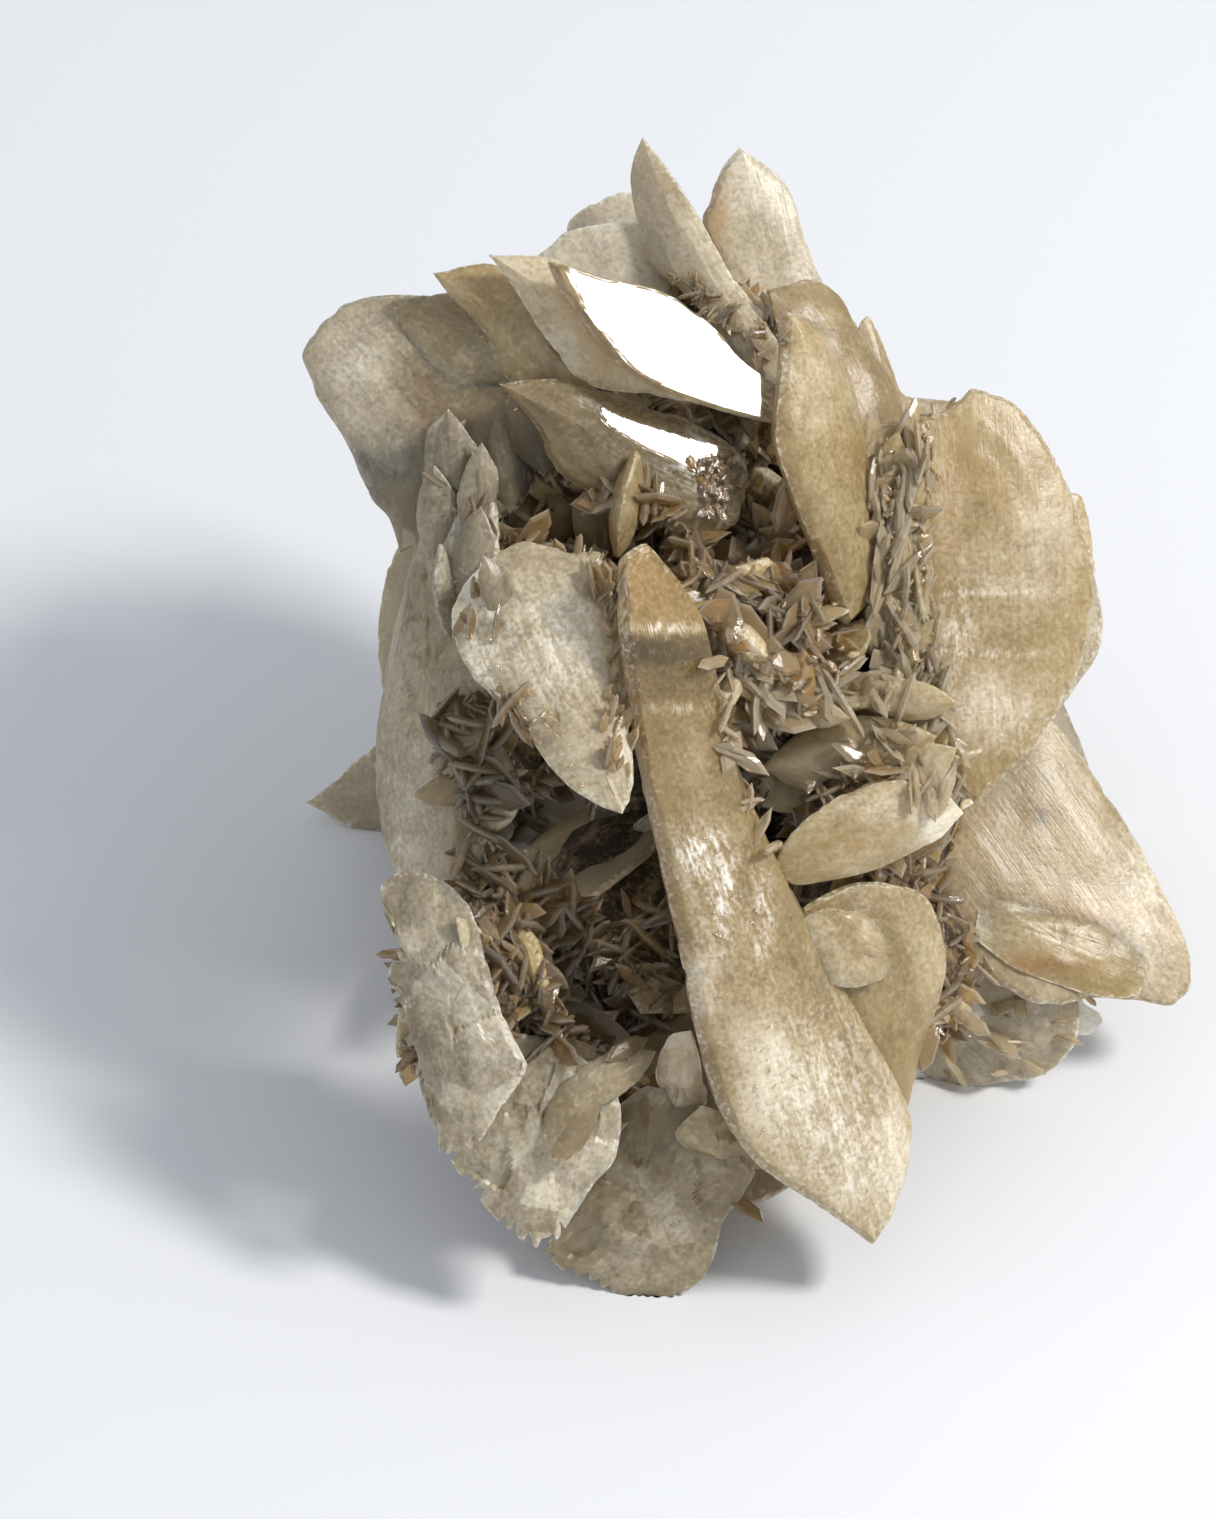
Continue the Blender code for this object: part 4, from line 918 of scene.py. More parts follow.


# %% [markdown]
# Selenite is clear in some places and milky in others. The clear part is glass of gypsum's low
# index, and the light that crosses it is absorbed along its way, blue first, so that thick
# places turn honey brown. The milky part is a soft body. Both are one Principled shader each,
# and a mask of clouds mixes them. The milky colour is mixed in steps: smoky to amber, cream
# clouds, clay stain in the seams, dark smoke, which in the dark hollows is painted shade, and
# pale bruises on the worn rim and on frost streaks, which on the ledges in the wing's shade are
# painted light. Blades deep inside are milky alone, because nobody sees through them and light
# then ends there sooner.

# %% Colours and patterns of the blades
SMOKY = (0.34, 0.28, 0.185, 1.0)
AMBER = (0.58, 0.415, 0.165, 1.0)
CREAM = (0.78, 0.71, 0.56, 1.0)
CLAY = (0.50, 0.22, 0.07, 1.0)
# dark smoky tone, also used as painted shade in the hollows
SMOKE_AND_SHADE = (0.07, 0.052, 0.035, 1.0)
BRUISE_AND_PAINTED_LIGHT = (0.92, 0.90, 0.84, 1.0)
CLEAR = (0.95, 0.92, 0.86, 1.0)
GYPSUM_INDEX = 1.52
HONEY_LIGHT = (0.80, 0.62, 0.34, 1.0)   # what absorption leaves of white
HONEY_DENSITY = 320.0                   # per metre of way through the crystal
MILKY_DEPTH = dict(Subsurface_Weight=0.4, Subsurface_Radius=(1.0, 0.8, 0.5), Subsurface_Scale=0.0015)
CLOUDS = (0.16, 1.0, 0.5)               # scale per mm, octaves and roughness of a noise
MOTTLE = (0.8, 2.0, 0.65)
STREAKS = (1.7, 3.0, 0.8)
LINES = (2.6, 2.0, 0.8)
FINE = (3500.0, 1.0, 0.6)               # this one and the next have their scale per metre
SEAM_CLAY = (420.0, 1.0)
SCALES_PER_MM = 0.5
STREAK_STRETCH = (0.3, 1.0, 0.0)        # streaks and lines run along the blade
LINE_STRETCH = (0.05, 1.0, 0.0)
BLADE_BUMP = dict(Strength=0.5, Distance=0.00012)
print("light left after a millimetre of clear crystal",
      [round(math.exp((part - 1) * HONEY_DENSITY * MM), 2) for part in HONEY_LIGHT[:3]])

# %% Selenite of the large blades
def add_absorption(recipe):
    """Absorption along the light's way inside the crystal."""
    haze = recipe.tree.nodes.new("ShaderNodeVolumeAbsorption")
    haze.inputs["Color"].default_value = HONEY_LIGHT
    haze.inputs["Density"].default_value = HONEY_DENSITY
    recipe.tree.links.new(haze.outputs[0], recipe.tree.nodes["Material Output"].inputs["Volume"])


def blade_material(name, scaly=False, clear=True):
    """Clear gypsum and milky gypsum, mixed by clouds that follow each blade's own plane. scaly
    adds the overlapping scales of the curved rim. Blades deep inside have clear=False: they are
    milky alone."""
    recipe = Recipe(name)
    _, _, way, grain = recipe.attribute("grain")
    honey, pale, gloss, _ = recipe.attribute("look")
    stain, smoke_and_shade, frost_and_painted_light, _ = recipe.attribute("mark")
    root = recipe.node("TexCoord", out="Object")
    clouds = recipe.noise(grain, *CLOUDS)
    mottle = recipe.noise(grain, *MOTTLE)
    fine = recipe.noise(root, *FINE)
    grit = (fine - 0.5) * 0.35
    streaks = recipe.noise(recipe.stretched(grain, STREAK_STRETCH), *STREAKS)
    lines = recipe.noise(recipe.stretched(grain, LINE_STRETCH), *LINES)
    frosted_and_lit = frost_and_painted_light * (streaks + (fine - 0.5) * 0.2).between(0.42, 0.66)
    milk = pale * 0.85 + (clouds - 0.5) * 0.8 + (mottle - 0.5) * 0.45 + (lines - 0.5) * 0.3 + grit
    if scaly:
        cells = recipe.node("TexVoronoi", None, out="Color", Vector=grain, Scale=SCALES_PER_MM)
        milk = milk + (cells - 0.5) * 0.35
    colour = recipe.mix((honey + (mottle - 0.5) * 0.4 + grit).between(-0.1, 1.1), SMOKY, AMBER)
    colour = recipe.mix(milk.between(0.0, 1.1), colour, CREAM)
    seam = (1 - way).between(0.5, 1.0) * recipe.noise(root, *SEAM_CLAY).between(0.5, 0.75) * 0.25
    colour = recipe.mix(recipe.larger(seam, stain), colour, CLAY)
    # smoke darkens the colour; in the dark hollows it is painted shade
    colour = recipe.mix(smoke_and_shade, colour, SMOKE_AND_SHADE)
    colour = recipe.mix(fine.between(0.48, 0.32) * 0.10, colour, SMOKE_AND_SHADE)
    colour = recipe.mix(fine.between(0.54, 0.70) * 0.10, colour, BRUISE_AND_PAINTED_LIGHT)
    worn = (way + (fine - 0.5) * 0.2).between(0.965, 1.05)
    bright = recipe.larger(worn * 0.5, frosted_and_lit * 0.75)
    # worn rims and frost streaks turn pale; on the ledges in the wing's shade the frost is painted light
    colour = recipe.mix(bright, colour, BRUISE_AND_PAINTED_LIGHT)
    matt = 1 - gloss
    rough = 0.05 + matt * (0.31 + (mottle - 0.5) * 0.12 + (fine - 0.5) * 0.2 + worn * 0.2)
    relief = lines * 0.45 + mottle * 0.4 + fine * 0.3 + streaks * frost_and_painted_light * 0.5
    relief = relief * (0.05 + matt)
    bump = recipe.node("Bump", None, Height=relief, **BLADE_BUMP)
    recipe.set(Base_Color=colour, Roughness=rough, Normal=bump, IOR=GYPSUM_INDEX)
    if not clear:
        return recipe.material
    recipe.set(**MILKY_DEPTH)
    glass = recipe.second()
    recipe.set(Base_Color=recipe.mix(0.3, CLEAR, colour), Roughness=rough, Normal=bump,
               IOR=GYPSUM_INDEX, Transmission_Weight=1.0)
    recipe.join(glass, 0.42 + milk * 0.6 + bright * 0.5 + smoke_and_shade * 0.3)
    add_absorption(recipe)
    return recipe.material


selenite = blade_material("selenite_blade")
scaly_selenite = blade_material("selenite_scaly", scaly=True)
milky_selenite = blade_material("selenite_milky", clear=False)
print(selenite.name, "has", len(selenite.node_tree.nodes), "nodes")

# %% [markdown]
# The small crystals are browner and clearer than the large blades, each with its own tint, and
# their rims are painted paler, as a highlight where they catch the light. The crust that they
# stand on is painted dark, as shade: little light comes back from between the plates.

# %% Colours and patterns of druse and crust
DRUSE_BROWN = (0.44, 0.27, 0.105, 1.0)
DRUSE_AMBER = (0.84, 0.56, 0.22, 1.0)
DRUSE_CREAM = (0.88, 0.76, 0.53, 1.0)
# painted shade: the crust's darkest colour stands for the shade in the gaps between the plates
CRUST_SHADE = (0.045, 0.032, 0.02, 1.0)
CRUST_BROWN = (0.30, 0.20, 0.105, 1.0)
DRUSE_CLEAR = 0.7                       # how much of a small crystal is see-through
DRUSE_MOTTLE = (1.4, 2.0, 0.6)          # per mm, as above
DRUSE_FINE = (9.0, 1.0, 0.6)
DRUSE_BUMP = dict(Strength=0.35, Distance=0.00006)
CRUST_LUMPS = (700.0, 4.0, 0.65)        # per metre
CRUST_GRIT = (3500.0, 2.0, 0.6)
CRUST_BUMP = dict(Strength=0.9, Distance=0.0004)
CRUST_SHINE = 0.2
print("small crystals are see-through by", DRUSE_CLEAR)

# %% Druse and crust
def druse_material():
    """Half-clear small crystals: brown to amber to cream by their tint, with rims painted paler as
    highlights.
    """
    recipe = Recipe("selenite_druse")
    _, _, way, grain = recipe.attribute("grain")
    honey, pale, gloss, _ = recipe.attribute("look")
    _, smoke_and_shade, _, _ = recipe.attribute("mark")
    mottle = recipe.noise(grain, *DRUSE_MOTTLE)
    fine = recipe.noise(grain, *DRUSE_FINE)
    colour = recipe.mix((honey + (mottle - 0.5) * 0.8).between(0.0, 1.0), DRUSE_BROWN, DRUSE_AMBER)
    colour = recipe.mix((pale + (mottle - 0.5) * 0.5) * 0.8, colour, DRUSE_CREAM)
    # smoke darkens plates; in the hollow patches it is painted shade
    colour = recipe.mix(smoke_and_shade, colour, SMOKE_AND_SHADE)
    # painted highlight: plate rims are mixed towards white, as the light that they catch
    colour = recipe.mix(way.between(0.84, 1.0) * 0.45, colour, BRUISE_AND_PAINTED_LIGHT)
    rough = 0.24 - gloss * 0.20 + (fine - 0.5) * 0.1
    bump = recipe.node("Bump", None, Height=fine + mottle, **DRUSE_BUMP)
    recipe.set(Base_Color=colour, Roughness=rough, Normal=bump, IOR=GYPSUM_INDEX,
               Transmission_Weight=DRUSE_CLEAR)
    return recipe.material


def crust_material():
    """The rough ground between the crystals, painted dark as the shade between the plates."""
    recipe = Recipe("selenite_crust")
    root = recipe.node("TexCoord", out="Object")
    lumps = recipe.noise(root, *CRUST_LUMPS)
    grit = recipe.noise(root, *CRUST_GRIT)
    colour = recipe.mix((lumps + (grit - 0.5) * 0.4).between(0.4, 0.75), CRUST_SHADE, CRUST_BROWN)
    bump = recipe.node("Bump", None, Height=lumps + grit * 0.3, **CRUST_BUMP)
    recipe.set(Base_Color=colour, Roughness=0.55 + grit * 0.4, Normal=bump, IOR=GYPSUM_INDEX,
               Specular_IOR_Level=CRUST_SHINE)
    return recipe.material


druse, crust = druse_material(), crust_material()
print(druse.name, crust.name)

# %% [markdown]
# The blades are made group by group. Those that the picture shows largest get more points, so
# that their steps and chips stay crisp, and those round the back get fewer.

# %% Blades
LOOK_FADES = (("spots", 2), ("windows", 6))     # the power of the distance by which each fades
GRAIN_STEP = 31.0           # between two blades' places in the patterns
FRONT_SPACING = 0.42
FINE_SPACING = 0.26
BACK_SPACING = 1.0
FINE_BLADES = ("fan_mirror", "fan_lower", "front", "disc", "skirt_left", "skirt_middle", "skirt_front")


def blade_look(blade, places, cuts):
    """Honey, pale, gloss, stain, smoke and frost at each point of a blade. Smoke also paints
    shade in the dark hollows, and frost paints light on the ledges in the wing's shade. Only
    facets have gloss. Spots add to them all, faded by a bell curve: e to the minus the squared
    distance in half sizes. Windows take a high power of the distance, so that they end at once."""
    look = np.zeros((len(places), 6))
    look[:, 0] = blade["honey"]
    look[:, 1] = blade["pale"]
    look[:, 2] = cuts
    sheet = (blade["at"] + places @ blade["axes"] - SHEET_ORIGIN) @ SHEET_AXES.T
    for kind, power in LOOK_FADES:
        for u, v, half_u, half_v, *more in blade.get(kind, ()):
            far = np.abs((sheet[:, 0] - u) / half_u) ** power + np.abs((sheet[:, 1] - v) / half_v) ** power
            look += np.exp(-far)[:, None] * more
    return np.clip(look, -1, 2)


def add_blade(gathering, blade, seed, spacing):
    """One blade's surface, in the model's frame, with its grain and look."""
    places, way, cuts, columns, rows = blade_surface(blade, seed, spacing)
    quads, triangles = band_faces(columns, rows)
    grain = np.column_stack([places[:, :2] + GRAIN_STEP * seed, way])
    look = blade_look(blade, places, cuts)
    gathering.add(blade["at"] + places @ blade["axes"], quads, triangles, grain, look)


seed = 0
for name, blades in GROUPS.items():
    gathering = Gathering()
    for blade in blades:
        seed += 1
        spacing = BACK_SPACING if name == "back_blades" else FRONT_SPACING
        add_blade(gathering, blade, seed, FINE_SPACING if blade["name"] in FINE_BLADES else spacing)
    gathering.piece(name, scaly_selenite if name == "skirt_blades" else selenite)

# %% [markdown]
# Between the large blades lie rosettes: smaller blades that cross at all angles through one
# middle. They stand where the solid has them, so the same seeded draws are made here in the
# same order. Each crossing blade gets the surface function of the large ones, a little slimmer
# than in the solid.

# %% Where the rosettes stand
CAVITY = (-9.6, -9.0, 4.0, 3.8)         # the dark hollow's place and half sizes on the sheet
# painted shade: smoke 0.95 and less pale on every rosette blade in the dark hollow, for the hollow's shade
CAVITY_SHADE_SPOT = (*CAVITY, 0, -0.5, 0, 0, 0.95, 0)
ROSETTES = [
    dict(name="heart", at=(0, 6, -6), half=(13, 11, 12), blades=4, crystals=3),
    dict(name="heart_top", at=(-2, 20, -4), half=(9, 7, 9), blades=2, crystals=1),
    dict(name="heart_fan", at=(-8, 15.5, 2), half=(8, 5, 7), blades=1, crystals=1),
    dict(name="heart_right", at=(9, -4, -6), half=(7, 13, 11), blades=3, crystals=3),
    dict(name="heart_front", at=(-1, 3, 5), half=(7, 8, 9), blades=4, crystals=6),
    dict(name="heart_disc", at=(13, 6, -2), half=(6, 9, 7), blades=1, crystals=1),
    dict(name="heart_slab", at=(7, -14, 2), half=(6, 7, 8), blades=2, crystals=2),
    dict(name="heart_low_right", at=(10, -16, -6), half=(6, 7, 8), blades=2, crystals=2),
    dict(name="heart_left", at=(-13, 3, -3), half=(8, 12, 10), blades=2, crystals=2),
    dict(name="heart_shoulder", at=(-12, 5, 6), half=(6, 6, 9), blades=2, crystals=2),
    dict(name="heart_low_left", at=(-16, -16.5, 4.5), half=(4.5, 9, 9), blades=2, crystals=3),
    dict(name="heart_low", at=(-11, -26, 2), half=(6, 5, 8), blades=1, crystals=2),
    dict(name="heart_back", at=(0, -3, -15), half=(15, 16, 11), blades=4, crystals=3),
    dict(name="heart_under", at=(-4, -14, -11), half=(13, 11, 8), blades=3, crystals=2),
    dict(name="heart_middle", at=(8, -5.5, 3), half=(6, 7, 6), blades=1, crystals=1),
]
CHANCE_SEED = 11
ROSETTE_WIDE = (0.60, 0.85)
ROSETTE_THICK = (3.0, 5.0)
ROSETTE_SIDES = 5
CRYSTAL_SPANS = ((4.5, 8.0), (2.2, 4.0), (0.9, 1.5))
CRYSTAL_SPREAD = 0.7
CRYSTAL_DEPTH = 0.70
ROSETTE_SPACING = 1.05
ROSETTE_HONEY = (0.35, 0.85)
ROSETTE_PALE = (0.1, 0.5)
ROSETTE_SLIM = 0.75                     # share of the solid's thickness, so that druse stands clear
ROSETTE_CHIP = 0.2
print("rosettes", len(ROSETTES), "with", sum(spec["blades"] for spec in ROSETTES), "crossing blades")

# %% Rosettes
def any_direction(chance):
    """A direction with no preference: three normal draws, made one long."""
    return Vector((chance.gauss(0, 1), chance.gauss(0, 1), chance.gauss(0, 1))).normalized()


def crossing_blade(middle, out, roll, half, chance_look):
    """A small blade with its long axis along out and half sizes along its own axes."""
    turn = out.to_track_quat("X", "Z").to_matrix() @ Matrix.Rotation(roll, 3, "X")
    axes = np.array(turn.transposed()) @ SHEET_AXES
    angles = math.tau * np.arange(ROSETTE_SIDES) / ROSETTE_SIDES
    rim = np.column_stack([half[0] * np.cos(angles), half[1] * np.sin(angles)])
    honey, pale = chance_look.uniform(*ROSETTE_HONEY), chance_look.uniform(*ROSETTE_PALE)
    return dict(at=from_sheet(middle), axes=axes, rim=rim, thick=2 * half[2], honey=honey, pale=pale)


def rosette_blades():
    """All crossing blades and small standing crystals, from the solid's own seeded draws."""
    chance, look = random.Random(CHANCE_SEED), random.Random(CHANCE_SEED + 1)
    crossing, standing = [], []
    for spec in ROSETTES:
        middle, half = Vector(spec["at"]), Vector(spec["half"])
        for _ in range(spec["blades"]):
            out = any_direction(chance)
            reach = Vector(o * h for o, h in zip(out, half)).length
            wide = reach * chance.uniform(*ROSETTE_WIDE)
            thick = chance.uniform(*ROSETTE_THICK)
            crossing.append(crossing_blade(
                middle, out, chance.uniform(0, math.pi), (reach, wide, thick / 2), look))
        for _ in range(spec["crystals"]):
            facing = any_direction(chance)
            foot = middle + Vector(f * h * CRYSTAL_DEPTH for f, h in zip(facing, half))
            out = (facing + any_direction(chance) * CRYSTAL_SPREAD).normalized()
            size = [chance.uniform(*span) / 2 for span in CRYSTAL_SPANS]
            standing.append(crossing_blade(foot, out, chance.uniform(0, math.pi), size, look))
    return crossing, standing


crossing, standing = rosette_blades()
gathering = Gathering()
for blade in crossing + standing:
    seed += 1
    # each crossing blade carries the painted shade of the dark hollow
    slim = dict(blade, thick=blade["thick"] * ROSETTE_SLIM, chip=ROSETTE_CHIP, spots=[CAVITY_SHADE_SPOT])
    add_blade(gathering, slim, seed, ROSETTE_SPACING)
gathering.piece("rosette_blades", milky_selenite)

# %% [markdown]
# Each rosette's blades meet in a kernel, which shows only as ground between the druse, painted
# dark as the shade there. It closes the gaps, so that no light falls through the cluster where
# the real one is solid.

# %% Kernels
KERNEL = 0.71               # share of the rosette's half sizes
KERNEL_SWELL = (0.05, 2.5)  # share of the radius, and size
KERNEL_LUMPS = (0.035, 0.8)
KERNEL_WAY = 0.3
KERNEL_COLUMNS = 48
KERNEL_ROWS = 23


def kernel_surface(spec, seed):
    """A globe of half sizes KERNEL times the rosette's, whose radius swells and sinks with
    noise of two sizes. Rows run from pole to pole."""
    polar = np.linspace(0, math.pi, KERNEL_ROWS + 2)[:, None]
    round_ = np.arange(KERNEL_COLUMNS)[None] * math.tau / KERNEL_COLUMNS
    globe = np.stack([np.sin(polar) * np.cos(round_), np.sin(polar) * np.sin(round_),
                      np.cos(polar) + 0 * round_], -1)
    points = np.concatenate([globe[0, :1], globe[1:-1].reshape(-1, 3), globe[-1, :1]])
    places = points * np.array(spec["half"]) * KERNEL
    swell = KERNEL_SWELL[0] * noise(places, KERNEL_SWELL[1], seed)
    lumps = KERNEL_LUMPS[0] * noise(places, KERNEL_LUMPS[1], seed + 1)
    return places * (1 + (swell + lumps))[:, None]


gathering = Gathering()
for spec in ROSETTES:
    seed += 1
    places = kernel_surface(spec, seed)
    quads, triangles = band_faces(KERNEL_COLUMNS, KERNEL_ROWS)
    grain = np.column_stack([places[:, :2], np.full(len(places), KERNEL_WAY)])
    look = np.zeros((len(places), 6))
    gathering.add(from_sheet(np.array(spec["at"]) + places), quads, triangles, grain, look)
gathering.piece("kernels", crust)

# %% [markdown]
# Druse fills every seam: thousands of tiny lens-shaped plates that cross at all angles and show
# as a net of rims, painted paler as highlights, with gaps dark from shade and from the crust's
# painted shade. A plate is one template of a few dozen faces, stood on a place with a long axis,
# a width and a thickness. Most stand on edge, with the long axis near the skin. Some lie on it,
# and glints lean so that they mirror the lamp.

# %% One small plate
PLATE_SIDES = 6
PLATE_RING = 0.80           # the inner ring's place and height


def plate_template():
    """A lens-shaped plate of unit half sizes: pole, inner ring, rim, inner ring, pole."""
    angle = math.tau * np.arange(PLATE_SIDES) / PLATE_SIDES
    lens = np.column_stack([np.cos(angle), np.sin(angle)])
    rings = [(PLATE_RING, PLATE_RING), (1.0, 0.0), (PLATE_RING, -PLATE_RING)]
    body = [np.column_stack([lens * reach, np.full(PLATE_SIDES, height)]) for reach, height in rings]
    way = np.concatenate([[0], np.repeat([r for r, _ in rings], PLATE_SIDES), [0]])
    return np.concatenate([[[0, 0, 1]], *body, [[0, 0, -1]]]), way


print("a plate has", 2 * PLATE_SIDES * 3, "triangles")

# %% Plates by the thousand
PLATE_TURN = 0.35           # by how much headings and edges wander
PLATE_RISE = (-0.6, 0.9)    # how far the long axis of a standing plate leaves the skin
PLATE_WIDE = (0.18, 0.5)    # share of the length
PLATE_THIN = 0.08
PLATE_STOUT = 0.10          # share of the length that is added to the thickness
PLATE_UNEVEN = (0.7, 1.4)
LYING_LEAN = 0.4
GLINT_LEAN = 0.09
GLINT_LEVEL = 8             # out of the sheet, where the mirroring direction is worked out
DRUSE_LIFT = 0.12           # of a plate's middle off the skin, as a share of its length


def unit(vectors):
    """Vectors made one long."""
    return vectors / np.linalg.norm(vectors, axis=-1, keepdims=True)


def plate_axes(outward, stance, heading, draws):
    """Long axis and normal of each plate. Standing: the long axis runs near the skin and the
    normal at right angles to the outward direction. Lying: the normal is the outward direction
    with some lean. Glint: the normal mirrors the lamp to the camera, with a small lean."""
    shape = outward.shape
    if stance == "standing":
        side = unit(np.cross(outward, draws.normal(0, 1, shape)))
        if heading is not None:
            side = unit(heading + draws.normal(0, PLATE_TURN, shape))
        along = unit(side + outward * draws.uniform(*PLATE_RISE, (shape[0], 1)))
        return along, unit(np.cross(along, outward + draws.normal(0, PLATE_TURN, shape)))
    aim, lean = outward, LYING_LEAN
    if stance == "glint":
        aim, lean = mirror_lean([0, 0, GLINT_LEVEL]) @ SHEET_AXES, GLINT_LEAN
    normal = unit(aim + draws.normal(0, lean, shape))
    side = draws.normal(0, 1, shape) if heading is None else heading + draws.normal(0, PLATE_TURN, shape)
    return unit(np.cross(np.cross(normal, side), normal)), normal


def add_plates(gathering, places, outward, draws, long, look, stance="standing", heading=None,
               lift=DRUSE_LIFT):
    """One plate on every place, all in one go. long and each of look (honey, pale, gloss and
    smoke, which in the hollow paints its shade) are a lowest and a highest value, and small
    plates are the most. lift is how far a plate's middle is off the skin, as a share of its length."""
    count = len(places)
    along, normal = plate_axes(outward, stance, heading, draws)
    length = long[0] + (long[1] - long[0]) * draws.random(count) ** 2
    width = length * draws.uniform(*PLATE_WIDE, count)
    thick = PLATE_THIN + length * PLATE_STOUT * draws.uniform(*PLATE_UNEVEN, count)
    template, way = plate_template()
    axes = np.stack([along * length[:, None], np.cross(normal, along) * width[:, None],
                     normal * thick[:, None]], 1) / 2
    points = (places + outward * (lift * length)[:, None])[:, None] + template @ axes
    size = len(template)
    quads, triangles = band_faces(PLATE_SIDES, 3)
    shift = (np.arange(count) * size)[:, None, None]
    flat = points.reshape(-1, 3)
    grain = np.column_stack([flat[:, 0] + flat[:, 2], flat[:, 1], np.tile(way, count)])
    tint = np.zeros((count, 6))
    for column, span in zip((0, 1, 2, 4), look):
        tint[:, column] = draws.uniform(*span, count)
    gathering.add(flat, (quads[None] + shift).reshape(-1, 4), (triangles[None] + shift).reshape(-1, 3),
                  grain, np.repeat(tint, size, axis=0))
    return count


print("small plates are", PLATE_WIDE, "as wide as they are long")

# %% [markdown]
# Druse grows where the solid's skin is not the face of a large blade. So places are drawn
# evenly over that skin, and those in a large blade are dropped.

# %% Druse in the seams
DRUSE_SEED = 5
DRUSE_DRAWS = 34000
DRUSE_MARGIN = 0.35
FEET_CLEAR = 0.6            # no druse below this height, so that the feet stand free
CAVITY_BARE = 0.9           # nor in this share of the dark hollow
RIM_CORNERS = 120
LENS_POWERS = (6, 0.75)     # how the half thickness ends at the rim
DRUSE_LONG = (0.9, 4.8)
DRUSE_LOOK = ((0.1, 0.9), (0.0, 0.6), (0.0, 1.0), (0.0, 0.3))
PLATES_IN_A_PIECE = 4500


def solid_skin():
    """The solid's corners in mm, and the three corner numbers of each triangle."""
    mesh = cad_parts["crystal_cluster"].data
    mesh.calc_loop_triangles()
    corners = np.empty(len(mesh.vertices) * 3)
    mesh.vertices.foreach_get("co", corners)
    ids = np.empty(len(mesh.loop_triangles) * 3, dtype=np.int32)
    mesh.loop_triangles.foreach_get("vertices", ids)
    return corners.reshape(-1, 3) / MM, ids.reshape(-1, 3)


def skin_places(count, draws):
    """Even draws over the solid's skin: triangles by their area, then a random point in each.
    Returns places in mm and the skin's outward directions."""
    corners, ids = solid_skin()
    triangles = corners[ids]
    cross = np.cross(triangles[:, 1] - triangles[:, 0], triangles[:, 2] - triangles[:, 0])
    area = np.linalg.norm(cross, axis=1)
    chosen = draws.choice(len(area), count, p=area / area.sum())
    first, second = draws.random(count), draws.random(count)
    flip = first + second > 1
    first, second = np.where(flip, 1 - first, first), np.where(flip, 1 - second, second)
    a, b, c = triangles[chosen].transpose(1, 0, 2)
    return a + (b - a) * first[:, None] + (c - a) * second[:, None], cross[chosen] / area[chosen, None]


def inside_blade(points, blade, margin):
    """Which points lie within a blade's outline and its thickness plus a margin."""
    local = (points - blade["at"]) @ blade["axes"].T
    rim = smooth_rim(blade["rim"], RIM_CORNERS)
    turn, local_turn = (np.arctan2(points[:, 1], points[:, 0]) for points in (rim, local))
    reach = np.interp(local_turn, turn, np.linalg.norm(rim, axis=1), period=math.tau)
    r = np.hypot(local[:, 0], local[:, 1]) / reach
    height = blade["thick"] / 2 * np.clip(1 - r**LENS_POWERS[0], 0, 1) ** LENS_POWERS[1]
    return (r < 1.0) & (np.abs(local[:, 2]) < height + margin)


draws = np.random.default_rng(DRUSE_SEED)
places, outward = skin_places(DRUSE_DRAWS, draws)
on_sheet = (places - SHEET_ORIGIN) @ SHEET_AXES.T
from_cavity = np.hypot(*((on_sheet[:, :2] - CAVITY[:2]) / CAVITY[2:]).T)
keep = (places[:, 2] > FEET_CLEAR) & (from_cavity > CAVITY_BARE)
for blades in GROUPS.values():
    for blade in blades:
        keep &= ~inside_blade(places, blade, DRUSE_MARGIN)
places, outward = places[keep], outward[keep]
for start in range(0, len(places), PLATES_IN_A_PIECE):
    gathering = Gathering()
    part = slice(start, start + PLATES_IN_A_PIECE)
    add_plates(gathering, places[part], outward[part], draws, DRUSE_LONG, DRUSE_LOOK)
    gathering.piece(f"druse_{start // PLATES_IN_A_PIECE + 1}", druse, smooth=False)

# %% [markdown]
# Some patches carry small crystals on top of the large blades as well: the strip of druse on
# the disc's left, the woven middle, the hollow's edges and the pale fan under the wing. Each
# patch is an outline on the sheet. Random places in it are carried straight back onto the
# solid, to the first skin that they meet, and get plates of the patch's own size, stance and
# look. Glints are specks that shine; most of them are lifted to the tips of the other plates.

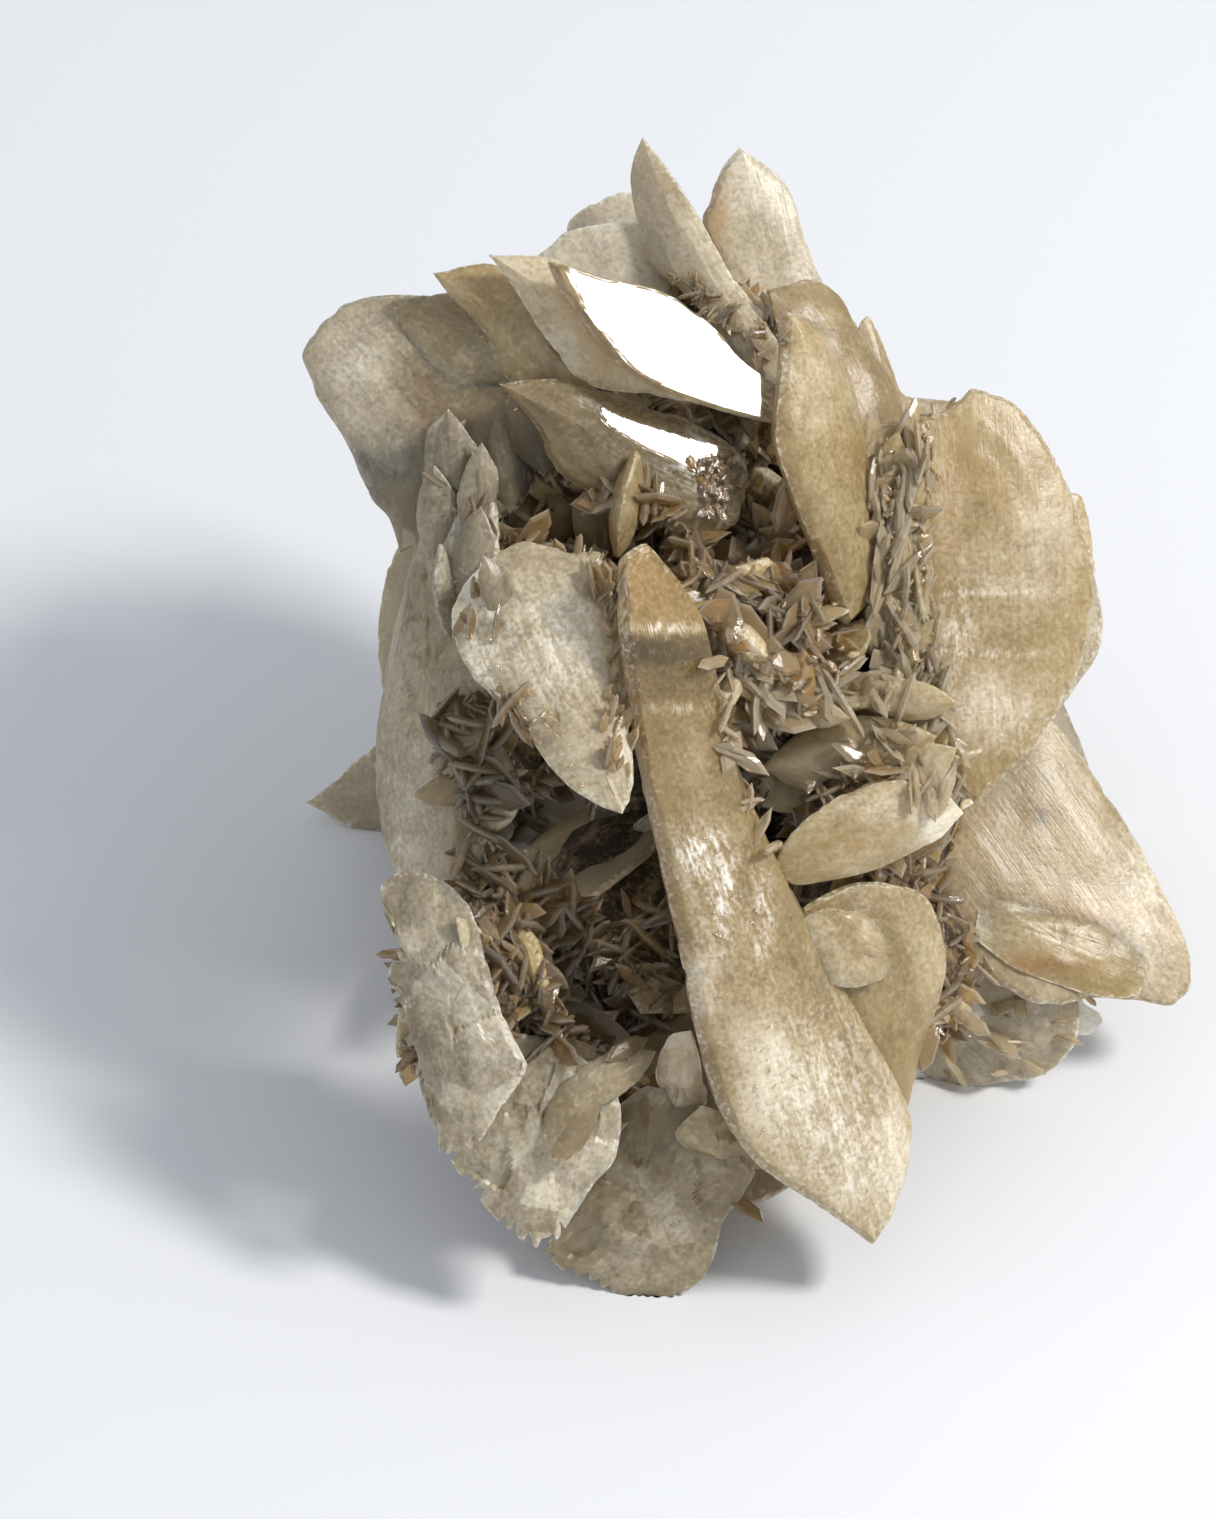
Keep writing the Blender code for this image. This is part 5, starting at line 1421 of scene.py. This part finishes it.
# %% Where the patches lie
PATCH_LIFT = 0.10
SHEET_FAR = 60.0            # out of the sheet, clear of the whole cluster
STRIP = [(7.7, 16.3), (11.6, 16.9), (11.3, 8.8), (12.3, 0), (13.4, -6.3), (10, -6.3), (8.4, 0), (7.7, 6.3)]
RIGHT_OF_FRONT = [(-2.6, 3.6), (6.6, 3.1), (11.6, 0.6), (12.8, -4.6), (9.4, -4.6), (6.0, -5.0),
                  (3.4, -7.2), (1.2, -9.4), (-0.4, -6.6)]
PALE_BROWN = ((0.6, 1.1), (0.8, 1.25), (0.2, 1.0), (0.0, 0.0))
PATCHES = [
    dict(name="strip", count=260, long=(1.0, 4.8), stance="standing", heading=(0.1, 1, 0),
         look=PALE_BROWN, outline=STRIP),
    dict(name="strip_flat", count=220, long=(1.0, 4.0), stance="lying", heading=(0.1, 1, 0),
         look=PALE_BROWN, outline=STRIP),
    dict(name="right_flat", count=200, long=(1.4, 5.0), stance="lying", heading=(1, 0.1, 0),
         look=((0.5, 1.0), (0.8, 1.25), (0.2, 1.0), (0.0, 0.0)), outline=RIGHT_OF_FRONT),
    dict(name="middle", count=440, long=(0.9, 4.8), stance="standing",
         look=((0.3, 1.0), (-0.1, 0.7), (0.3, 1.0), (0.0, 0.4)), outline=[
             (-12.5, 13.1), (-9.7, 12.5), (-6.6, 13.4), (-3.4, 10.6), (0.0, 9.6), (2.0, 14.0), (3.4, 10.3),
             (5.6, 5.2), (6.6, 3.1), (-2.8, 3.1), (-3.2, 7.5), (-6.0, 9.8), (-7.8, 8.8), (-9.2, 9.6)]),
    dict(name="middle_right", count=380, long=(1.2, 5.6), stance="standing",
         look=((0.4, 1.0), (0.8, 1.25), (0.2, 1.0), (0.0, 0.0)), outline=RIGHT_OF_FRONT),
    # painted shade: the hollow's plates get smoke and little pale, darkened as the hollow's shade
    dict(name="hollow_left", count=230, long=(1.2, 5.2), stance="standing",
         look=((0.1, 0.6), (0.1, 0.6), (0.0, 0.6), (0.1, 0.6)), outline=[
             (-18.6, 0), (-14.1, 0), (-12.2, -5.0), (-13.8, -9), (-15.3, -14.4), (-17.6, -10)]),
    dict(name="hollow_low", count=220, long=(1.2, 5.2), stance="standing",
         look=((0.1, 0.6), (0.0, 0.4), (0.0, 0.6), (0.2, 0.7)), outline=[
             (-15.9, -13.0), (-6.6, -13.5), (-5.6, -18.8), (-6.6, -21.9), (-12.8, -21.9), (-15.3, -17.5)]),
    dict(name="shoulder_seam", count=110, long=(0.7, 2.6), stance="standing", heading=(0.2, 1, 0),
         look=((0.4, 0.9), (0.3, 0.9), (0.2, 1.0), (0.0, 0.2)), outline=[
             (-10.6, 9.4), (-7.6, 8.8), (-6.9, -5), (-9.1, -3.8), (-8.4, 3.1)]),
    dict(name="crown_seam", count=70, long=(0.6, 2.2), stance="standing",
         look=((0.3, 0.8), (0.4, 1.0), (0.2, 1.0), (0.0, 0.2)), outline=[
             (-5.6, 26.6), (-3.4, 26.6), (2.8, 21.9), (0.9, 21.2), (-2.8, 24.1)]),
    # painted light: these plates are paled above 1 to brighten them in the wing's shade
    dict(name="under_wing", count=26, long=(1.2, 4.0), stance="standing", heading=(0.9, -0.35, 0.0),
         look=((0.1, 0.6), (1.1, 1.25), (0.0, 0.8), (0.0, 0.0)), outline=[
             (13.0, -14.4), (15.0, -14.4), (18.5, -19.2), (22.8, -20), (21.6, -23.4), (13.0, -23.8)]),
    dict(name="left_crystals", count=40, long=(1.0, 3.6), stance="standing", heading=(0.15, 1, 0.3),
         look=((-0.3, 0.2), (0.3, 0.9), (0.1, 0.6), (0.1, 0.4)), outline=[
             (-19.3, 16.3), (-17.3, 16.3), (-14.5, 10.0), (-15.3, 4.3), (-17.2, 2.2), (-18.5, 8)]),
    dict(name="glints_fan", count=90, long=(0.5, 1.8), stance="glint",
         look=((0.0, 0.4), (0.0, 0.2), (0.9, 1.0), (0.0, 0.5)), outline=[
             (-3.6, 15.0), (0.0, 15.3), (0.0, 10.9), (-2.8, 11.3)]),
    dict(name="glints_middle", count=150, long=(0.3, 1.3), stance="glint", lift=0.9,
         look=((0.3, 0.9), (0.0, 0.6), (0.9, 1.0), (0.0, 0.3)), outline=[
             (-6.6, 12.0), (-2.0, 11.0), (4.0, 10.0), (7.0, 3.0), (12.0, 0.6), (12.0, -4.6), (3.4, -6.0),
             (-2.4, 3.0), (-3.0, 7.5)]),
    dict(name="glints_strip", count=70, long=(0.3, 1.2), stance="glint", lift=0.8,
         look=((0.5, 1.0), (0.3, 1.0), (0.9, 1.0), (0.0, 0.0)), outline=[
             (7.9, 16.0), (11.4, 16.6), (11.3, 8.8), (12.3, 0), (10, -6.0), (8.4, 0), (7.9, 6.3)]),
    dict(name="glints_hollow", count=40, long=(0.3, 1.0), stance="glint", lift=0.6,
         look=((0.1, 0.6), (0.0, 0.4), (0.9, 1.0), (0.0, 0.4)), outline=[
             (-18.0, -1.0), (-14.1, -1.0), (-13.0, -12.0), (-6.6, -14.5), (-6.6, -21.0), (-15.0, -18.0)]),
    dict(name="glints_shoulder", count=60, long=(0.25, 0.8), stance="glint",
         look=((0.4, 0.8), (0.6, 1.0), (0.9, 1.0), (0.0, 0.0)), outline=[
             (-17.5, 3.8), (-16.6, 5), (-11.6, -1.3), (-9.1, -5.6), (-9.7, -6.3), (-13.4, -1.9)]),
    dict(name="glints_front", count=50, long=(0.2, 0.6), stance="glint",
         look=((0.5, 0.9), (0.6, 1.0), (0.9, 1.0), (0.0, 0.0)), outline=[
             (-3.8, -7.5), (-1.6, -7.0), (3.4, -18.8), (5.9, -25), (0.9, -27.5), (-1.6, -18.8)]),
]
print("patches", len(PATCHES))

# %% Patches of small crystals
def within(points, outline):
    """Which points of the sheet lie in an outline, by counting the sides that a ray crosses."""
    a, b = np.array(outline), np.roll(outline, -1, axis=0)
    u, v = points[:, None, 0], points[:, None, 1]
    crosses = (a[:, 1] > v) != (b[:, 1] > v)
    reach = (b[:, 0] - a[:, 0]) * (v - a[:, 1]) / np.where(crosses, b[:, 1] - a[:, 1], 1) + a[:, 0]
    return (crosses & (u < reach)).sum(axis=1) % 2 == 1


def carried_back(points, skin):
    """The first skin of the solid behind each point of the sheet, and its outward direction."""
    start = from_sheet(np.column_stack([points, np.full(len(points), SHEET_FAR)]))
    back = Vector(-SHEET_AXES[2])
    met = [skin.ray_cast(Vector(place), back)[:2] for place in start]
    met = [hit for hit in met if hit[0] is not None]
    return np.array([place for place, _ in met]), np.array([normal for _, normal in met])


corners, ids = solid_skin()
skin = BVHTree.FromPolygons(corners.tolist(), ids.tolist())
gathering = Gathering()
total = 0
for patch in PATCHES:
    corners = np.array(patch["outline"])
    points = np.empty((0, 2))
    while len(points) < patch["count"]:
        more = draws.uniform(corners.min(axis=0), corners.max(axis=0), (patch["count"], 2))
        points = np.concatenate([points, more[within(more, corners)]])
    places, outward = carried_back(points[:patch["count"]], skin)
    places = places + patch.get("lift", 0.0) * SHEET_AXES[2]
    heading = np.array(patch["heading"]) @ SHEET_AXES if "heading" in patch else None
    total += add_plates(gathering, places, outward, draws, patch["long"], patch["look"], patch["stance"],
                        heading, lift=PATCH_LIFT if patch["stance"] == "standing" else 0.0)
gathering.piece("patches", druse, smooth=False)
print("plates in patches", total)

# %% [markdown]
# Between the druse and the large blades stand crystals of a middle size: the grey row on the
# left, the peaks over the shoulder, the woven ones, and the parallel ones in the hollow, painted
# dark as its shade.
# Each is a row of the table: its place on the sheet, half length and half width, the way its
# long axis points and the group's tint. It is carried back onto the solid like the patches and
# gets the surface of the large blades, with its own lean.

# %% Middle crystals
MIDDLE_RIM = np.array([(1, 0), (0.55, 0.75), (-0.3, 1), (-1, 0.15), (-0.6, -0.7), (0.4, -1)])
MIDDLE_LEAN = 0.45
MIDDLE_SPACING = 0.38
MIDDLE_RISE = 0.25          # of the long axis out of the sheet
MIDDLE_THICK = 1.1          # thickness over the half width
MIDDLE_CHIP = 0.15
MIDDLE = [
    dict(look=dict(honey=0.0, pale=0.35), rows=[
        (-18.1, 14.4, 3.6, 1.3, 95), (-16.6, 12.5, 3.4, 1.2, 85), (-15.0, 14.4, 3.0, 1.1, 100),
        (-19.1, 11.3, 3.2, 1.3, 92), (-16.9, 8.8, 3.2, 1.3, 80), (-18.4, 6.3, 3.4, 1.3, 98),
        (-14.1, 11.3, 2.6, 1.2, 75), (-15.4, 6.6, 2.4, 1.0, 110)]),
    dict(look=dict(honey=0.8, pale=0.15), lift=0.8, rows=[
        (-10.6, 12.0, 3.6, 2.1, 60), (-9.0, 10.8, 3.3, 1.9, 110), (-7.4, 12.0, 3.4, 1.8, 80),
        (-5.8, 10.6, 2.8, 1.5, 130), (-12.4, 10.6, 2.8, 1.5, 70)]),
    dict(look=dict(honey=0.8, pale=0.2), rows=[
        (-0.6, 6.9, 2.8, 0.9, 20), (0.9, 6.3, 2.6, 0.9, -15), (-1.6, 7.8, 2.4, 0.8, 160),
        (2.8, 8.8, 2.6, 0.9, 60), (-2.8, 10.0, 2.2, 0.9, 30), (1.6, 10.3, 2.4, 0.8, 120),
        (3.8, 5.0, 2.6, 0.9, 10)]),
    dict(look=dict(honey=1.0, pale=0.5), rows=[
        (9.7, 0.0, 3.4, 1.3, -4), (11.6, -3.1, 2.8, 1.2, 70), (3.6, -0.6, 3.0, 1.0, -12),
        (6.2, 1.0, 3.4, 1.0, 3)]),
    dict(look=dict(honey=1.0, pale=0.4), lean=0.12, rows=[
        (6.4, -3.4, 5.6, 2.4, 12), (8.2, -1.6, 4.8, 1.8, 4), (4.2, -5.2, 3.6, 1.5, 28),
        (10.2, -4.6, 3.4, 1.6, 30)]),
    dict(look=dict(honey=0.5, pale=0.1), rows=[
        (-17.2, -2.5, 2.8, 1.1, 40), (-15.3, -4.4, 2.6, 1.0, 120), (-18.1, -5.6, 2.6, 1.0, 10),
        (-14.1, -2.5, 2.4, 0.9, 80), (-17.2, -9.4, 2.6, 1.0, 100), (-15.9, -7.4, 2.4, 0.9, 30)]),
    # painted shade: a smoke spot and negative pale darken the parallel crystals deep in the hollow, as its
    # shade
    dict(look=dict(honey=0.4, pale=-0.2, spots=[(-9.5, -18, 5, 5, 0, 0, 0, 0, 0.35, 0)]), rows=[
        (-9.1, -15.6, 3.6, 1.1, -30), (-9.2, -17.2, 3.8, 1.1, -28), (-9.6, -18.8, 3.8, 1.1, -26),
        (-9.8, -20.1, 3.4, 1.0, -24), (-13.4, -16.3, 3.0, 1.1, 150), (-14.1, -18.8, 2.8, 1.1, 130)]),
    dict(look=dict(honey=1.0, pale=0.45), rows=[
        (10.0, 11.3, 2.8, 0.9, 70), (10.9, 6.3, 2.6, 0.9, 100), (9.1, 1.3, 2.8, 0.9, 85),
        (10.6, 3.1, 2.4, 0.8, 60), (8.8, 14.4, 2.4, 0.9, 75), (9.6, 8.4, 2.6, 0.8, 95)]),
]


def middle_blade(row, look, lean, lift, draws):
    """A small blade on the solid's skin behind its place on the sheet."""
    u, v, half_long, half_wide, turn = row
    places, _ = carried_back(np.array([(u, v)]), skin)
    along = unit(np.array([math.cos(math.radians(turn)), math.sin(math.radians(turn)), MIDDLE_RISE]))
    normal = np.array([0, 0, 1]) + draws.normal(0, lean, 3)
    side = unit(np.cross(normal, along))
    axes = np.array([along, side, np.cross(along, side)]) @ SHEET_AXES
    return dict(at=places[0] + lift * SHEET_AXES[2], axes=axes, rim=MIDDLE_RIM * [half_long, half_wide],
                thick=half_wide * MIDDLE_THICK, chip=MIDDLE_CHIP, **look)


gathering = Gathering()
for group in MIDDLE:
    for row in group["rows"]:
        seed += 1
        lean, lift = group.get("lean", MIDDLE_LEAN), group.get("lift", 0.0)
        blade = middle_blade(row, group["look"], lean, lift, draws)
        add_blade(gathering, blade, seed, MIDDLE_SPACING)
gathering.piece("middle_crystals", selenite)
